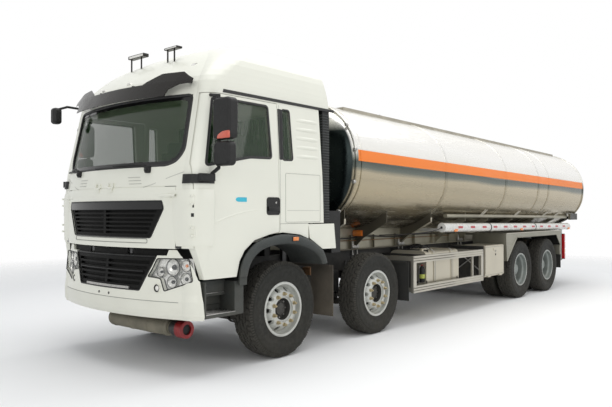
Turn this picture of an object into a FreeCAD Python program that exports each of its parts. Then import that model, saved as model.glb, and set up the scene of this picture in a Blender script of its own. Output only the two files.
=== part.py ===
import FreeCAD, Part
import math
import os

V = FreeCAD.Vector

# Whole vehicle, millimetres; x runs forward, y to the left, z up from the road
FRONT_OVERHANG = 1500.0
AXLE_1_TO_2 = 1800.0
AXLE_2_TO_3 = 4600.0
AXLE_3_TO_4 = 1350.0
REAR_OVERHANG = 2370.0
OVERALL = FRONT_OVERHANG + AXLE_1_TO_2 + AXLE_2_TO_3 + AXLE_3_TO_4 + REAR_OVERHANG
AXLE_1 = OVERALL / 2 - FRONT_OVERHANG
REAR_END = FRONT_OVERHANG - OVERALL
AXLE_2 = AXLE_1 - AXLE_1_TO_2
AXLE_3 = AXLE_2 - AXLE_2_TO_3
AXLE_4 = AXLE_3 - AXLE_3_TO_4

# Clearances
SEAM = 6.0
PIN_GAP = 0.3

# Wheels
TYRE_R = 525.0
TYRE_W = 290.0
FLANGE_R = 298.5
BEAD_R = 285.0
WELL_R = 248.0
RIM_HALF = 124.0
HUB_Z = 525.0
STEER_Y = 1020.0
TWIN_OUT_Y = 1080.0
TWIN_STEP = 330.0
HUB_BORE_R = 140.5
HUB_FACE = 62.0
HAND_HOLES = 10
HAND_HOLE_R = 26.0
KINGPIN_Y = 850.0
STUB_R = 42.0

# Chassis frame
RAIL_Y = 430.0
RAIL_TOP = 1050.0
RAIL_H = 280.0
RAIL_FLANGE = 85.0
RAIL_T = 9.0
RAIL_FRONT = 1240.0
RAIL_REAR = -9640.0

# Tank
TANK_FRONT = -1200.0
TANK_REAR = -9900.0
TANK_A = 1243.0
TANK_B = 870.0
TANK_Z = 2140.0
TANK_SLOPE = 0.77
TANK_PIVOT_X = -5600.0
TANK_POWER = 2.3
HEAD_DEPTH = 130.0

# Cab
CAB_FLOOR = 1265.0
SKIRT_LOW = 1240.0
CAB_WALL = 50.0
CAB_BOW = 6300.0
TILT_X = 1380.0
TILT_Z = 1200.0
FLAP_TOP = 1830.0
FLAP_HALF = 985.0
GLASS_T = 8.0
GLASS_IN = 14.0

os.makedirs("parts", exist_ok=True)


def X(x):
    return AXLE_1 + x


def box(x0, x1, y0, y1, z0, z1):
    return Part.makeBox(x1 - x0, y1 - y0, z1 - z0, V(x0, y0, z0))


def side_box(s, x0, x1, y0, y1, z0, z1):
    """A box on the left side (s = 1) or the right side (s = -1)."""
    return box(x0, x1, min(s * y0, s * y1), max(s * y0, s * y1), z0, z1)


def rod(a, b, r):
    d = V(*b) - V(*a)
    return Part.makeCylinder(r, d.Length, V(*a), d)


def fuse(shapes):
    out = shapes[0]
    if len(shapes) > 1:
        out = out.fuse(shapes[1:])
    return out.removeSplitter()


def mirrored(shape):
    return shape.mirror(V(0, 0, 0), V(0, 1, 0))


def both(shape):
    return [shape, mirrored(shape)]


def wire(points):
    return Part.makePolygon([V(*p) for p in points] + [V(*points[0])])


def prism_y(points, y0, y1):
    face = Part.Face(wire([(x, y0, z) for x, z in points]))
    return face.extrude(V(0, y1 - y0, 0))


def prism_x(points, x0, x1):
    face = Part.Face(wire([(x0, y, z) for y, z in points]))
    return face.extrude(V(x1 - x0, 0, 0))


def prism_z(points, z0, z1):
    face = Part.Face(wire([(x, y, z0) for x, y in points]))
    return face.extrude(V(0, 0, z1 - z0))


def spline(points):
    curve = Part.BSplineCurve()
    curve.interpolate([V(*p) for p in points])
    return curve.toShape()


def revolve_y(profile, x, z):
    face = Part.Face(wire([(x + r, y, z) for r, y in profile]))
    return face.revolve(V(x, 0, z), V(0, 1, 0), 360)


def write(name, shapes):
    if not isinstance(shapes, list):
        shapes = [shapes]
    solids = []
    for shape in shapes:
        solids += shape.Solids
    result = solids[0] if len(solids) == 1 else Part.makeCompound(solids)
    result.exportStep("parts/" + name + ".step")


# Hinges: a moving barrel between two fixed ends on one pin
HINGE_R = 9.0
HINGE_PIN_R = 4.0
HINGE_HALF = 28.0


def hinge_parts(centre, axis, leaf_moving, leaf_fixed):
    c = V(*centre)
    a = V(*axis)
    h = HINGE_HALF
    g = PIN_GAP
    knuckle_part = Part.makeCylinder(HINGE_R, 2 * h, c - a * h, a)
    ends = [Part.makeCylinder(HINGE_R, 20, c + a * (h + g), a)]
    ends.append(Part.makeCylinder(HINGE_R, 20, c - a * (h + g), -a))
    pin = Part.makeCylinder(HINGE_PIN_R, 2 * h + 20, c - a * (h + 10), a)
    bore = Part.makeCylinder(HINGE_PIN_R + g, 2 * h + 10, c - a * (h + 5), a)
    moving = fuse([knuckle_part, leaf_moving]).cut(bore)
    fixed = fuse([e.fuse(f) for e, f in zip(ends, leaf_fixed)] + [pin])
    room = Part.makeCylinder(HINGE_R + 4, 2 * h + 60, c - a * (h + 30), a)
    return moving, fixed, room


# Wheels: tyres and rims are turned profiles of radius and distance along the axle
def tyre(x, y):
    h = TYRE_W / 2
    profile = [
        (BEAD_R + PIN_GAP, y - RIM_HALF + 15), (FLANGE_R + 1.5, y - RIM_HALF + 12),
        (FLANGE_R + 4, y - RIM_HALF - 4), (370, y - h + 10),
        (430, y - h), (480, y - h + 8), (TYRE_R - 12, y - h + 22), (TYRE_R, y - h + 42),
        (TYRE_R, y + h - 42), (TYRE_R - 12, y + h - 22), (480, y + h - 8), (430, y + h),
        (370, y + h - 10), (FLANGE_R + 4, y + RIM_HALF + 4), (FLANGE_R + 1.5, y + RIM_HALF - 12),
        (BEAD_R + PIN_GAP, y + RIM_HALF - 15)]
    return revolve_y(profile, x, HUB_Z)


def rim_profile(y, side):
    def p(r, d):
        return (r, y + side * d)
    h = RIM_HALF
    return [
        p(FLANGE_R, h), p(FLANGE_R, h - 10), p(BEAD_R, h - 14), p(BEAD_R - 2, h - 50),
        p(WELL_R + 10, h - 75), p(WELL_R + 10, -h + 75), p(BEAD_R - 2, -h + 50), p(BEAD_R, -h + 14),
        p(FLANGE_R, -h + 10), p(FLANGE_R, -h), p(BEAD_R - 14, -h), p(BEAD_R - 16, -h + 52),
        p(WELL_R, -h + 80), p(WELL_R, h - 80), p(BEAD_R - 16, h - 52), p(BEAD_R - 14, h)]


def hand_holes(x, y, ring_r):
    holes = []
    for i in range(HAND_HOLES):
        a = 2 * math.pi * i / HAND_HOLES
        cx = x + ring_r * math.cos(a)
        cz = HUB_Z + ring_r * math.sin(a)
        holes.append(rod((cx, y - 120, cz), (cx, y + 120, cz), HAND_HOLE_R))
    return holes


def steer_rim(x):
    y = STEER_Y
    barrel = revolve_y(rim_profile(y, 1), x, HUB_Z)
    disc = revolve_y([
        (WELL_R + 2, y + 20), (WELL_R + 2, y + 42), (225, y + 78), (198, y + 116), (180, y + 130),
        (HUB_BORE_R, y + 132), (HUB_BORE_R, y + 112), (176, y + 108), (206, y + 62), (228, y + 26)], x, HUB_Z)
    disc = disc.cut(hand_holes(x, y + 80, 214))
    hub = revolve_y([
        (0, y + HUB_FACE), (70, y + HUB_FACE), (86, y + HUB_FACE - 12), (118, y + HUB_FACE - 16),
        (120, y + 112), (185, y + 112), (185, y + 96), (150, y + 92), (140, y + 20), (110, y - 30),
        (STUB_R + PIN_GAP, y - 30), (STUB_R + PIN_GAP, y + HUB_FACE - 20), (0, y + HUB_FACE - 20)], x, HUB_Z)
    return fuse([barrel, disc, hub])


def twin_rims(x):
    out = TWIN_OUT_Y
    inn = TWIN_OUT_Y - TWIN_STEP
    face = (out + inn) / 2
    barrel_out = revolve_y(rim_profile(out, 1), x, HUB_Z)
    barrel_in = revolve_y(rim_profile(inn, 1), x, HUB_Z)
    disc_out = revolve_y([
        (WELL_R + 2, face + 100), (WELL_R + 2, face + 124), (226, face + 96), (200, face + 40),
        (172, face + 22), (110, face + 22), (110, face), (176, face), (212, face + 18),
        (232, face + 74)], x, HUB_Z)
    disc_out = disc_out.cut(hand_holes(x, face + 60, 214))
    disc_in = revolve_y([
        (WELL_R + 2, face - 100), (WELL_R + 2, face - 124), (226, face - 96), (200, face - 40),
        (172, face - 22), (110, face - 22), (110, face), (176, face), (212, face - 18),
        (232, face - 74)], x, HUB_Z)
    hub = revolve_y([
        (0, face + 205), (78, face + 205), (96, face + 190), (96, face + 120), (118, face + 100),
        (118, face - 40), (STUB_R + 20, face - 90), (STUB_R + PIN_GAP, face - 90),
        (STUB_R + PIN_GAP, face + 60), (0, face + 60)], x, HUB_Z)
    return fuse([barrel_out, barrel_in, disc_out, disc_in, hub])


for number, axle_x in ((1, AXLE_1), (2, AXLE_2)):
    t = tyre(axle_x, STEER_Y)
    r = steer_rim(axle_x)
    write("tyre_%d_left" % number, t)
    write("tyre_%d_right" % number, mirrored(t))
    write("rim_%d_left" % number, r)
    write("rim_%d_right" % number, mirrored(r))

for number, axle_x in ((3, AXLE_3), (4, AXLE_4)):
    t = [tyre(axle_x, TWIN_OUT_Y), tyre(axle_x, TWIN_OUT_Y - TWIN_STEP)]
    r = twin_rims(axle_x)
    write("twin_tyres_%d_left" % number, t)
    write("twin_tyres_%d_right" % number, [mirrored(s) for s in t])
    write("twin_rims_%d_left" % number, r)
    write("twin_rims_%d_right" % number, mirrored(r))


# Steering knuckles: kingpin boss, stub axle and brake drum back plate
DRUM_CLEAR = 76.0


def knuckle(x):
    boss = rod((x, KINGPIN_Y, 435), (x, KINGPIN_Y, 615), 48)
    stub = rod((x, KINGPIN_Y, HUB_Z), (x, STEER_Y + HUB_FACE - 30, HUB_Z), STUB_R)
    drum = rod((x, KINGPIN_Y + DRUM_CLEAR, HUB_Z), (x, STEER_Y - 45, HUB_Z), 200)
    arm = prism_z([(x - 30, KINGPIN_Y + 10), (x - 30, KINGPIN_Y - 30), (x - 190, KINGPIN_Y - 66),
                   (x - 190, KINGPIN_Y - 34)], 560, 590)
    return fuse([boss, stub, drum, arm])


for number, axle_x in ((1, AXLE_1), (2, AXLE_2)):
    k = knuckle(axle_x)
    write("knuckle_%d_left" % number, k)
    write("knuckle_%d_right" % number, mirrored(k))


# Axles and springs: dropped front beams, cast rear housings with final drives
BEAM_EYE_R = 62.0
FRONT_SPRING_Y = 390.0
REAR_SPRING_Y = 505.0


def front_beam(x):
    half = [
        (0, 330), (520, 330), (640, 380), (KINGPIN_Y, 385), (KINGPIN_Y, 432),
        (620, 440), (500, 400), (0, 400)]
    beam = prism_x(half, x - 55, x + 55)
    upper = prism_x([(620, 440), (700, 432), (760, 618), (KINGPIN_Y, 618), (KINGPIN_Y, 660),
                     (730, 660)], x - 40, x + 40)
    eyes = [rod((x, KINGPIN_Y, 385), (x, KINGPIN_Y, 432), BEAM_EYE_R),
            rod((x, KINGPIN_Y, 618), (x, KINGPIN_Y, 660), BEAM_EYE_R)]
    beam = fuse([beam, upper] + eyes)
    beam = fuse(both(beam))
    for s in (1, -1):
        pin = rod((x, s * KINGPIN_Y, 425), (x, s * KINGPIN_Y, 625), 48 + PIN_GAP)
        beam = beam.cut(pin)
    return beam


def leaf_pack(x, y, z_axle, half, z_end, leaves, rail_z):
    parts = []
    for i in range(leaves):
        reach = half * (1 - 0.16 * i)
        z = z_axle + 13 * (leaves - i)
        low = z_axle + 13 * (leaves - i - 1)
        rise = z_end * (reach / half) ** 2
        pts = [(x - reach, z + rise), (x, z), (x + reach, z + rise), (x + reach, low + rise),
               (x, low), (x - reach, low + rise)]
        parts.append(prism_y(pts, y - 42, y + 42))
    top = z_axle + 13 * leaves
    for s in (1, -1):
        parts.append(box(x + s * (half - 40) - 40, x + s * (half - 40) + 40, y - 42, y + 42,
                         top + z_end - 45, rail_z))
    parts.append(box(x - 70, x + 70, y - 46, y + 46, z_axle - 60, top + 24))
    return fuse(parts)


running_gear = []
for axle_x in (AXLE_1, AXLE_2):
    pieces = [front_beam(axle_x)]
    spring = leaf_pack(axle_x, FRONT_SPRING_Y, 402, 760, 190, 3, RAIL_TOP - RAIL_H)
    pieces += both(spring)
    running_gear.append(fuse(pieces))
for axle_x in (AXLE_3, AXLE_4):
    tube = rod((axle_x, -(KINGPIN_Y - 110), HUB_Z), (axle_x, KINGPIN_Y - 110, HUB_Z), 75)
    bulb = Part.makeSphere(205, V(axle_x, 0, HUB_Z))
    nose = rod((axle_x, 0, HUB_Z + 30), (axle_x + 300, 0, HUB_Z + 60), 95)
    stub = rod((axle_x, -965, HUB_Z), (axle_x, 965, HUB_Z), STUB_R)
    drums = both(rod((axle_x, 600, HUB_Z), (axle_x, 800, HUB_Z), 205))
    running_gear.append(fuse([tube, bulb, nose, stub] + drums))
bogie_x = (AXLE_3 + AXLE_4) / 2
bogie = []
for s in (1, -1):
    y = s * REAR_SPRING_Y
    leaves = []
    for i in range(5):
        reach = 675 * (1 - 0.13 * i)
        z = 640 + 24 * i
        end_z = z - 40 * (reach / 675)
        pts = [(bogie_x - reach, end_z), (bogie_x, z), (bogie_x + reach, end_z),
               (bogie_x + reach, end_z + 24), (bogie_x, z + 24), (bogie_x - reach, end_z + 24)]
        leaves.append(prism_y(pts, y - 45, y + 45))
    leaves.append(side_box(s, bogie_x - 110, bogie_x + 110, REAR_SPRING_Y - 75, REAR_SPRING_Y + 70, 560, 790))
    bogie.append(fuse(leaves))
running_gear_rear = fuse(running_gear[2:] + bogie)
write("axles_and_springs", [running_gear[0], running_gear[1], running_gear_rear])


# Chassis frame: two channel rails, cross members, outriggers and cab pivot brackets
def rail():
    low = RAIL_TOP - RAIL_H
    outer = box(X(RAIL_REAR), X(RAIL_FRONT), RAIL_Y - RAIL_FLANGE, RAIL_Y, low, RAIL_TOP)
    inner = box(X(RAIL_REAR) - 5, X(RAIL_FRONT) + 5, RAIL_Y - RAIL_FLANGE - 5, RAIL_Y - RAIL_T,
                low + RAIL_T, RAIL_TOP - RAIL_T)
    return outer.cut(inner)


frame_parts = both(rail())
for x in (1200, -900, -2700, -4300, -5700, -7075, -8500, -9600):
    web_y = RAIL_Y - RAIL_T + 2
    web = box(X(x) - 40, X(x) + 40, -web_y, web_y, RAIL_TOP - 190, RAIL_TOP - 60)
    frame_parts.append(web)
for s in (1, -1):
    ear = prism_y([(X(1150), 900), (X(1240), 900), (X(TILT_X) + 5, TILT_Z - 45),
                   (X(TILT_X) + 30, TILT_Z + 15), (X(TILT_X) - 30, TILT_Z + 30), (X(1150), RAIL_TOP + 20)],
                  s * 400 - 15, s * 400 + 15)
    pin = rod((X(TILT_X), s * 385 - s * 10, TILT_Z), (X(TILT_X), s * 330, TILT_Z), 20)
    frame_parts += [ear, pin]
    frame_parts.append(side_box(s, X(-510), X(-430), 350, 430, RAIL_TOP - 5, CAB_FLOOR))
write("chassis_frame", fuse(frame_parts))

write("engine_block", [box(X(-620), X(880), -RAIL_Y + RAIL_FLANGE, RAIL_Y - RAIL_FLANGE, 640, 1215)])


# Tank barrel: flat-sided oval section with dished heads
def tank_ring(x, scale, grow, count=28):
    points = []
    for i in range(count):
        a = 2 * math.pi * i / count
        c = math.cos(a)
        s = math.sin(a)
        e = 2 / TANK_POWER
        y = (TANK_A * scale + grow) * math.copysign(abs(c) ** e, c)
        z = (TANK_B * scale + grow) * math.copysign(abs(s) ** e, s)
        points.append(V(x, y, TANK_Z + z))
    curve = Part.BSplineCurve()
    curve.interpolate(Points=points, PeriodicFlag=True)
    return Part.Wire([curve.toShape()])


def tank_slab(x0, x1, grow):
    return Part.Face(tank_ring(x0, 1.0, grow)).extrude(V(x1 - x0, 0, 0))


def head(x, direction):
    steps = ((1.0, 0.0), (0.94, 0.38), (0.8, 0.68), (0.58, 0.88), (0.3, 0.98))
    rings = [tank_ring(x + direction * HEAD_DEPTH * d, k, -18) for k, d in steps]
    return Part.makeLoft(rings, True, False)


def sloped(shape):
    out = shape.copy()
    out.rotate(V(X(TANK_PIVOT_X), 0, TANK_Z), V(0, 1, 0), -TANK_SLOPE)
    return out


barrel = tank_slab(X(TANK_REAR), X(TANK_FRONT), 0)
tank = fuse([barrel, head(X(TANK_FRONT), 1), head(X(TANK_REAR), -1)])
write("tank_barrel", sloped(tank))

BAND_XS = (-3520.0, -5700.0, -7226.0, -7770.0)
bands = []
for x in BAND_XS:
    bands.append(tank_slab(X(x) - 28, X(x) + 28, 4).cut(tank_slab(X(x) - 40, X(x) + 40, 0)))
for x, half, grow in ((TANK_FRONT - 15, 15, 22), (TANK_FRONT - 132, 10, 6), (TANK_REAR + 20, 30, 10)):
    ring = tank_slab(X(x) - half, X(x) + half, grow)
    bands.append(ring.cut(tank_slab(X(x) - half - 5, X(x) + half + 5, 0)))
write("tank_bands", [sloped(b) for b in bands])

# Walkway with overturn rails on the tank's top, and the rear ladder
RAIL_TOP_Z = TANK_Z + 828.0
WALK_FRONT = -1755.0
WALK_REAR = -9730.0
walk = []
for s in (1, -1):
    upright = box(X(WALK_REAR), X(WALK_FRONT), s * 620 - 4, s * 620 + 4, TANK_Z + 710, RAIL_TOP_Z)
    lip = side_box(s, X(WALK_REAR), X(WALK_FRONT), 580, 624, RAIL_TOP_Z - 8, RAIL_TOP_Z)
    walk += [upright, lip]
for x in (WALK_REAR, WALK_FRONT - 8):
    walk.append(box(X(x), X(x) + 8, -624, 624, TANK_Z + 710, RAIL_TOP_Z))
walk.append(box(X(-9400), X(-2000), -250, 250, TANK_Z + 880, TANK_Z + 888))
for x in (-2000, -3900, -6500, -9200):
    walk.append(box(X(x) - 200, X(x) - 150, -400, 400, TANK_Z + 840, TANK_Z + 880))
MANHOLES = (-3200.0, -7400.0)
LID_PIN_R = 6.0
LID_HINGE = 324.0
LID_Z = TANK_Z + 905.0
NECK_R = 270.0
for mx in MANHOLES:
    neck = rod((X(mx), 0, TANK_Z + 820), (X(mx), 0, LID_Z), NECK_R)
    walk.append(neck.cut(rod((X(mx), 0, TANK_Z + 870), (X(mx), 0, LID_Z + 10), NECK_R - 35)))
    for s in (1, -1):
        pin_x = X(mx) - LID_HINGE
        walk.append(side_box(s, pin_x - 28, pin_x + 28, 64, 76, TANK_Z + 880, LID_Z + 28))
    walk.append(rod((X(mx) - LID_HINGE, -76, LID_Z + 12), (X(mx) - LID_HINGE, 76, LID_Z + 12), LID_PIN_R))
walkway = fuse(walk).cut([tank] + bands)
opening = [rod((X(mx), 0, TANK_Z + 871), (X(mx), 0, LID_Z + 5), NECK_R - 35) for mx in MANHOLES]
walkway = walkway.cut(opening)
LADDER_R = 20.0
LADDER_TOP = 830.0
LADDER_LEAN = LADDER_TOP * math.sin(math.radians(TANK_SLOPE))
LADDER_REACH = REAR_END + LADDER_R - TANK_PIVOT_X + LADDER_LEAN
LADDER_X = TANK_PIVOT_X + LADDER_REACH / math.cos(math.radians(TANK_SLOPE))
ladder = []
for s in (1, -1):
    top = TANK_Z + LADDER_TOP
    ladder.append(rod((X(LADDER_X), s * 210, 700), (X(LADDER_X), s * 210, top), LADDER_R))
    ladder.append(rod((X(LADDER_X), s * 210, top - 10), (X(-9380), s * 210, TANK_Z + 876), LADDER_R))
for i in range(8):
    z = 760 + 290 * i
    ladder.append(rod((X(LADDER_X), -210, z), (X(LADDER_X), 210, z), 14))
for s in (1, -1):
    for z in (TANK_Z - 440, TANK_Z + 560):
        ladder.append(rod((X(LADDER_X), s * 210, z), (X(TANK_REAR) - 50, s * 210, z), 12))
ladder_solid = fuse(ladder).cut([tank] + bands)
write("tank_walkway", sloped(fuse([walkway, ladder_solid])))

for number, mx in enumerate(MANHOLES):
    lid = rod((X(mx), 0, LID_Z), (X(mx), 0, LID_Z + 18), NECK_R + 8)
    dome = rod((X(mx), 0, LID_Z + 18), (X(mx), 0, LID_Z + 32), 150)
    tab = box(X(mx) - LID_HINGE - 12, X(mx) - 250, -60, 60, LID_Z, LID_Z + 24)
    pin_x = X(mx) - LID_HINGE
    tab = tab.cut(rod((pin_x, -90, LID_Z + 12), (pin_x, 90, LID_Z + 12), LID_PIN_R + PIN_GAP))
    write("manhole_lid_%d" % (number + 1), sloped(fuse([lid, dome, tab])))

PIPE_Y = 1005.0
PIPE_Z = 1502.0
PIPE_R = 34.0

# Subframe: web plates on the rails, saddles cut to the tank, gussets
sub = []
for s in (1, -1):
    web = box(X(-9640), X(-1230), s * 426 - 4, s * 426 + 4, RAIL_TOP, 1520)
    foot = side_box(s, X(-9640), X(-1230), 350, 500, RAIL_TOP, RAIL_TOP + 14)
    sub += [web, foot]
for x in (-1290, -2252, -3464, -4600, -5451, -6500, -7600, -8750, -9560):
    sub.append(prism_x([(-430, RAIL_TOP + 10), (430, RAIL_TOP + 10), (600, 1215), (1000, 1440), (1000, 1700),
                        (-1000, 1700), (-1000, 1440), (-600, 1215)], X(x) - 5, X(x) + 5))
for s in (1, -1):
    sub.append(side_box(s, X(-9900), X(-9450), 1060, 1110, 1410, 1550))
    sub.append(side_box(s, X(-9600), X(-9520), 900, 1080, 1425, 1485))
for s in (1, -1):
    sub.append(rod((X(-9440), s * PIPE_Y, PIPE_Z - 26), (X(-3900), s * PIPE_Y, PIPE_Z + 22), PIPE_R))
subframe = fuse(sub).cut([sloped(tank)] + [sloped(b) for b in bands])
write("subframe", subframe)

# Hose tubes along both sides, on outrigger arms from the subframe
TUBE_Y = 1165.0
TUBE_Z_FRONT = 1349.0
TUBE_Z_REAR = 1274.0
TUBE_R = 70.0
TUBE_X0 = -9040.0
TUBE_X1 = -3500.0
tubes = []
for s in (1, -1):
    tube = rod((X(TUBE_X0), s * TUBE_Y, TUBE_Z_REAR), (X(TUBE_X1), s * TUBE_Y, TUBE_Z_FRONT), TUBE_R)
    arms = []
    for x in (-3900, -6300, -8682):
        z = TUBE_Z_FRONT + (x - TUBE_X1) * (TUBE_Z_FRONT - TUBE_Z_REAR) / (TUBE_X1 - TUBE_X0)
        arms.append(side_box(s, X(x) - 6, X(x) + 6, 430, 1150, z - 65, z - 20))
    arms.append(side_box(s, X(-8700), X(-8664), 1130, 1180, 560, 1270))
    tubes.append(fuse([tube] + arms))
write("hose_tubes", tubes)

# Side guards: two rails and two posts each side, returned to the frame
guards = []
for s in (1, -1):
    def gb(x0, x1, y0, y1, z0, z1):
        return side_box(s, X(x0), X(x1), y0, y1, z0, z1)
    g = [gb(-4745, -2545, 1200, 1245, 872, 968), gb(-4745, -2545, 1200, 1245, 456, 552),
         gb(-2625, -2545, 1200, 1245, 456, 968), gb(-4745, -4665, 1200, 1245, 456, 968),
         gb(-4400, -4370, 1205, 1235, 540, 880)]
    for x in (-2570, -4745):
        g.append(gb(x, x + 25, 430, 1210, 900, 960))
        g.append(gb(x, x + 25, 1150, 1210, 470, 530))
    guards.append(fuse(g))
write("side_guards", guards)


# Fuel tank on the left, battery box and air tanks on the right
def rounded_box(x0, x1, y0, y1, z0, z1, r):
    b = box(x0, x1, y0, y1, z0, z1)
    edges = [e for e in b.Edges if abs(e.Vertexes[0].X - e.Vertexes[1].X) > 1]
    return b.makeFillet(r, edges)


fuel = rounded_box(X(-4060), X(-3060), 520, 1150, 480, 1010, 90)
straps = []
for x in (-3860, -3320):
    straps.append(rounded_box(X(x), X(x) + 60, 512, 1158, 472, 1018, 96))
    straps.append(box(X(x), X(x) + 60, 430, 540, 800, 1000))
cap = rod((X(-3200), 1010, 1000), (X(-3200), 1010, 1050), 55)
write("fuel_tank", fuse([fuel, cap] + straps))

battery = box(X(-3650), X(-2950), -1150, -520, 520, 960)
carrier = box(X(-3500), X(-3100), -540, -430, 800, 950)
air = []
for i, z in enumerate((620, 860)):
    air.append(rod((X(-4550), -800, z), (X(-3800), -800, z), 110))
hanger = box(X(-4200), X(-4140), -760, -430, 780, 980)
link = box(X(-4200), X(-4140), -830, -760, 600, 900)
write("battery_box_and_air_tanks", [fuse([battery, carrier]), fuse(air + [hanger, link])])

# Toolbox with its door
BOX_X0 = -5572.0
BOX_X1 = -4818.0
LID_HINGES = (-5420.0, -4970.0)
LID_AXIS = (1240.0, 500.0)
shell = box(X(BOX_X0), X(BOX_X1), 760, 1222, 500, 1020)
shell = shell.cut(box(X(BOX_X0) + 20, X(BOX_X1) - 20, 780, 1230, 530, 1000))
hang = box(X(-5300), X(-5100), 430, 770, 850, 1000)
door = box(X(BOX_X0) + 4, X(BOX_X1) - 4, 1222.5, 1240, 514, 1012)
latch = box(X(-5240), X(-5150), 1240, 1246, 930, 980)
lid_parts = []
box_parts = []
rooms = []
for x in LID_HINGES:
    cx = X(x)
    leaf_m = box(cx - HINGE_HALF, cx + HINGE_HALF, 1232, 1240, 500, 524)
    leaf_f = [box(cx + HINGE_HALF + PIN_GAP, cx + HINGE_HALF + 20, 1205, 1240, 491, 504),
              box(cx - HINGE_HALF - 20, cx - HINGE_HALF - PIN_GAP, 1205, 1240, 491, 504)]
    m, f, room = hinge_parts((cx, LID_AXIS[0], LID_AXIS[1]), (1, 0, 0), leaf_m, leaf_f)
    lid_parts.append(m)
    box_parts.append(f)
    rooms.append(room)
write("toolbox", fuse([shell.cut(rooms), hang] + box_parts))
write("toolbox_door", fuse([door.cut(rooms), latch] + lid_parts))

# Rear fenders over the twin wheels, with side valances
fenders = []
for s in (1, -1):
    top = side_box(s, X(-8470), X(-5672), 600, 1240, 1194, 1204)
    skirt = side_box(s, X(-8470), X(-5672), 1228, 1240, 1120, 1200)
    tip = prism_y([(X(-5672), 1200), (X(-5700), 716), (X(-5730), 716), (X(-6200), 1150), (X(-6200), 1200)],
                  min(s * 1228, s * 1240), max(s * 1228, s * 1240))
    slope = prism_y([(X(-5672), 1200), (X(-5700), 716), (X(-5712), 716), (X(-5684), 1200)],
                    min(s * 600, s * 1236), max(s * 600, s * 1236))
    tip2 = prism_y([(X(-8470), 1200), (X(-8440), 900), (X(-8410), 900), (X(-8150), 1150), (X(-8150), 1200)],
                   min(s * 1228, s * 1240), max(s * 1228, s * 1240))
    arms = []
    for x in (-5760, -7075, -8380):
        arms.append(side_box(s, X(x) - 20, X(x) + 20, 430, 1200, 1165, 1196))
    fenders.append(fuse([top, skirt, tip, tip2, slope] + arms))
write("rear_fenders", fenders)

# Mud flaps with their hanger bars
flaps = []
for s in (1, -1):
    for x, y0, z0, z1 in ((-760, 900, 360, 960), (-2440, 900, 360, 900), (-8462, 610, 420, 1194)):
        y1 = 1236 if x > -3000 else 1226
        flap = side_box(s, X(x), X(x) + 10, y0, y1, z0, z1)
        if x > -3000:
            bar = side_box(s, X(x) - 20, X(x) + 20, 430, 1200, z1 - 30, z1)
            flap = fuse([flap, bar])
        flaps.append(flap)
write("mudflaps", flaps)

# Silencer across the front, below the bumper, with the spark arrester at its end
SIL_X = 1130.0
SIL_Z = 428.0
can = rod((X(SIL_X), -370, SIL_Z), (X(SIL_X), 660, SIL_Z), 90)
edges = [e for e in can.Edges if e.Curve.TypeId == "Part::GeomCircle"]
can = can.makeFillet(25, edges)
collar = rod((X(SIL_X), 655, SIL_Z), (X(SIL_X), 740, SIL_Z), 62)
hangers = []
for y in (-380, 380):
    hangers.append(box(X(SIL_X) - 20, X(SIL_X) + 20, y - 12, y + 12, SIL_Z + 60, RAIL_TOP - RAIL_H))
write("silencer", fuse([can, collar] + hangers))
ring = rod((X(SIL_X), 740, SIL_Z), (X(SIL_X), 900, SIL_Z), 86)
ring = ring.cut(rod((X(SIL_X), 800, SIL_Z), (X(SIL_X), 905, SIL_Z), 52))
write("spark_arrester", ring)


# Cab shell: bowed front, tight corners, walls of one thickness
def front_x(centre, y):
    return centre - y * y / CAB_BOW


def cab_outline(z, centre, half, rear, corner, inset):
    c = centre - inset
    h = half - inset
    r = rear + inset
    k = h - corner
    fx = front_x(centre, k) - inset
    mid = (X(fx - corner * 0.30), h - corner * 0.26)
    side_x = X(fx - corner * 1.05)
    pts = {
        "fl": V(X(fx), k, z), "fr": V(X(fx), -k, z), "fc": V(X(c), 0, z),
        "sl": V(side_x, h, z), "sr": V(side_x, -h, z),
        "ml": V(mid[0], mid[1], z), "mr": V(mid[0], -mid[1], z),
        "rl": V(X(r), h, z), "rr": V(X(r), -h, z)}
    edges = [
        Part.Arc(pts["fr"], pts["fc"], pts["fl"]).toShape(),
        Part.Arc(pts["fl"], pts["ml"], pts["sl"]).toShape(),
        Part.LineSegment(pts["sl"], pts["rl"]).toShape(),
        Part.LineSegment(pts["rl"], pts["rr"]).toShape(),
        Part.LineSegment(pts["rr"], pts["sr"]).toShape(),
        Part.Arc(pts["sr"], pts["mr"], pts["fr"]).toShape()]
    return Part.Wire(edges)


CAB_LEVELS = (
    (930.0, 1500.0, 1245.0, -590.0, 190.0),
    (1760.0, 1500.0, 1245.0, -562.0, 190.0),
    (2020.0, 1472.0, 1243.0, -550.0, 185.0),
    (2790.0, 1300.0, 1215.0, -512.0, 170.0))
ROOF_LEVELS = (
    (2790.0, 1300.0, 1215.0, -700.0, 170.0),
    (2930.0, 1235.0, 1206.0, -682.0, 190.0),
    (3130.0, 1020.0, 1160.0, -650.0, 260.0),
    (3270.0, 800.0, 1060.0, -628.0, 330.0),
    (3370.0, 560.0, 880.0, -610.0, 380.0),
    (3410.0, 320.0, 640.0, -590.0, 400.0))


def levels_solid(levels, inset):
    rings = [cab_outline(z, c, h, r, k, inset) for z, c, h, r, k in levels]
    return Part.makeLoft(rings, True, True)


def softened(levels, parts):
    """The same levels with curved steps between them."""
    rows = [levels[0]] + list(levels) + [levels[-1]]
    out = []
    for i in range(1, len(rows) - 2):
        for k in range(parts):
            t = k / parts
            row = []
            for a, b, c, d in zip(rows[i - 1], rows[i], rows[i + 1], rows[i + 2]):
                bend = 2 * a - 5 * b + 4 * c - d + t * (3 * (b - c) + d - a)
                row.append(b + 0.5 * t * (c - a + t * bend))
            out.append(tuple(row))
    return tuple(out) + (levels[-1],)


cab_out = levels_solid(CAB_LEVELS, 0.0)
cab_in = levels_solid(CAB_LEVELS, CAB_WALL)
cab_wall = cab_out.cut(cab_in)

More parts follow.
